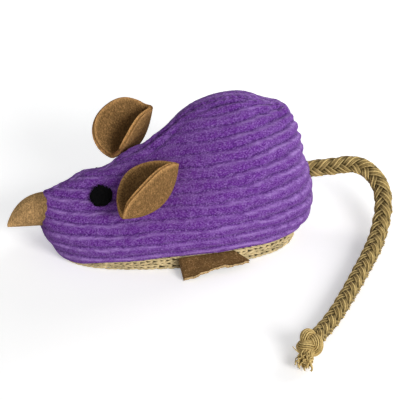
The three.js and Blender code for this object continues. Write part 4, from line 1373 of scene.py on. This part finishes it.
class MOUSE_OT_filling(bpy.types.Operator):
    """Packs the fibre, the catnip pouch and the knotted end of the tail inside the body"""

    bl_idname = "mouse.filling"
    bl_label = "Filling"

    def execute(self, context):
        self.make_wad("head_fibre", "head_stuffing", -SNOUT_REACH + 5.0, POUCH_X - 0.5, 1)
        self.make_wad("rump_fibre", "rump_stuffing", RUMP_REACH - 7.0, POUCH_X + 0.5, -1)
        self.make_pouch()
        self.make_anchor(context.scene.mouse_tail)
        return {"FINISHED"}

    def make_wad(self, name, node, far, near, facing):
        """Fibre wad from its far end to a face that is hollowed for the pouch."""
        stations = 40
        curves = section_curves(FABRIC + 1.2, np.linspace(far, near, stations))
        rings = []
        for curve in curves:
            half = resample(curve, np.linspace(0, lengths_along(curve)[-1], 24))
            rings.append(np.concatenate([half, (half * (1, -1, 1))[::-1]]))
        rings = np.array(rings)
        face = rings[-1]
        middle = np.array([near, 0.0, POUCH_Z])
        hollow = []
        for share in np.linspace(0.94, 0.04, 14):
            ring = middle + (face - middle) * share
            reach = np.minimum(1, (ring[:, 1] / (POUCH_DIAMETER / 2 + 1)) ** 2
                               + ((ring[:, 2] - POUCH_Z) / (POUCH_THICKNESS / 2 + 1)) ** 2)
            ring[:, 0] = near - facing * (POUCH_DIAMETER / 2 + 1) * np.sqrt(1 - reach)
            hollow.append(ring)
        rings = np.concatenate([rings, np.array(hollow)])
        rings[1:stations] += np.array([0, 0.25, 0.25]) * stuffing_lumps(rings[1:stations] * 3)[..., None]
        bag = MeshBag()
        bag.add(rings, capped_faces(len(rings), rings.shape[1], flip=facing < 0))
        wad = bag.build(name, finish_for("stuffing_fibre"))
        dress(wad, node, "mouse_body")

    def make_pouch(self):
        """Muslin bag of dried leaf with a stitched rim."""
        rows = 24
        columns = 48
        lift = np.linspace(-math.pi / 2 + 0.04, math.pi / 2 - 0.04, rows)[:, None]
        turn = np.arange(columns)[None] / columns * 2 * math.pi
        pucker = 1 - 0.03 * np.cos(lift) ** 6 * (1 + np.sin(turn * 14))
        reach = POUCH_DIAMETER / 2 * np.cos(lift) * pucker
        places = np.stack([POUCH_X + reach * np.cos(turn), reach * np.sin(turn),
                           POUCH_Z + POUCH_THICKNESS / 2 * np.sin(lift) * (1 + 0 * turn)], -1)
        bag = MeshBag()
        bag.add(places, capped_faces(rows, columns, flip=True))
        pouch = bag.build("catnip_pouch_muslin", finish_for("pouch_muslin"))
        dress(pouch, "catnip_pouch", "mouse_body")

    def make_anchor(self, settings):
        """Knot that keeps the tail from pulling out of the rump."""
        bag = MeshBag("tone", "depth")
        middle = np.array([RUMP_REACH - TAIL_INSIDE - 2.9, 0, TAIL_Z])
        add_knot(bag, middle, (0, 0, 1), settings.yarn / MM, np.random.default_rng(41))
        add_tube(bag, [middle + (x, 0, 0) for x in (1.0, 4.0, 8.4)], settings.diameter / MM / 2 * 0.9, 10,
                 tone=0.5, depth=1.0)
        anchor = bag.build("tail_anchor_wraps", finish_for("rope_jute"))
        dress(anchor, "tail_anchor_knot", "mouse_body")


class MOUSE_PT_panel(bpy.types.Panel):
    """Lists the steps that dress the mouse"""

    bl_idname = "MOUSE_PT_panel"
    bl_label = "Catnip Mouse"
    bl_space_type = "VIEW_3D"
    bl_region_type = "UI"
    bl_category = "Mouse"

    def draw(self, context):
        for step in STEPS:
            self.layout.operator(step)


STEPS = ["mouse.stage", "mouse.tail", "mouse.body", "mouse.base", "mouse.ears", "mouse.feet", "mouse.face",
         "mouse.filling"]
SETTINGS = {
    "mouse_body": MouseBodySettings,
    "mouse_felt": MouseFeltSettings,
    "mouse_tail": MouseTailSettings,
    "mouse_base": MouseBaseSettings,
    "mouse_stage": MouseStageSettings,
}
CLASSES = [*SETTINGS.values(), MOUSE_OT_stage, MOUSE_OT_tail, MOUSE_OT_body, MOUSE_OT_base, MOUSE_OT_ears,
           MOUSE_OT_feet, MOUSE_OT_face, MOUSE_OT_filling, MOUSE_PT_panel]


def register():
    for item in CLASSES:
        bpy.utils.register_class(item)
    for name, group in SETTINGS.items():
        setattr(bpy.types.Scene, name, PointerProperty(type=group))


def unregister():
    for name in SETTINGS:
        delattr(bpy.types.Scene, name)
    for item in reversed(CLASSES):
        bpy.utils.unregister_class(item)


def main():
    register()
    bpy.ops.mouse.stage()
    bpy.ops.mouse.tail()
    bpy.ops.mouse.body()
    bpy.ops.mouse.base()
    bpy.ops.mouse.ears()
    bpy.ops.mouse.feet()
    bpy.ops.mouse.face()
    bpy.ops.mouse.filling()


if __name__ == "__main__":
    main()
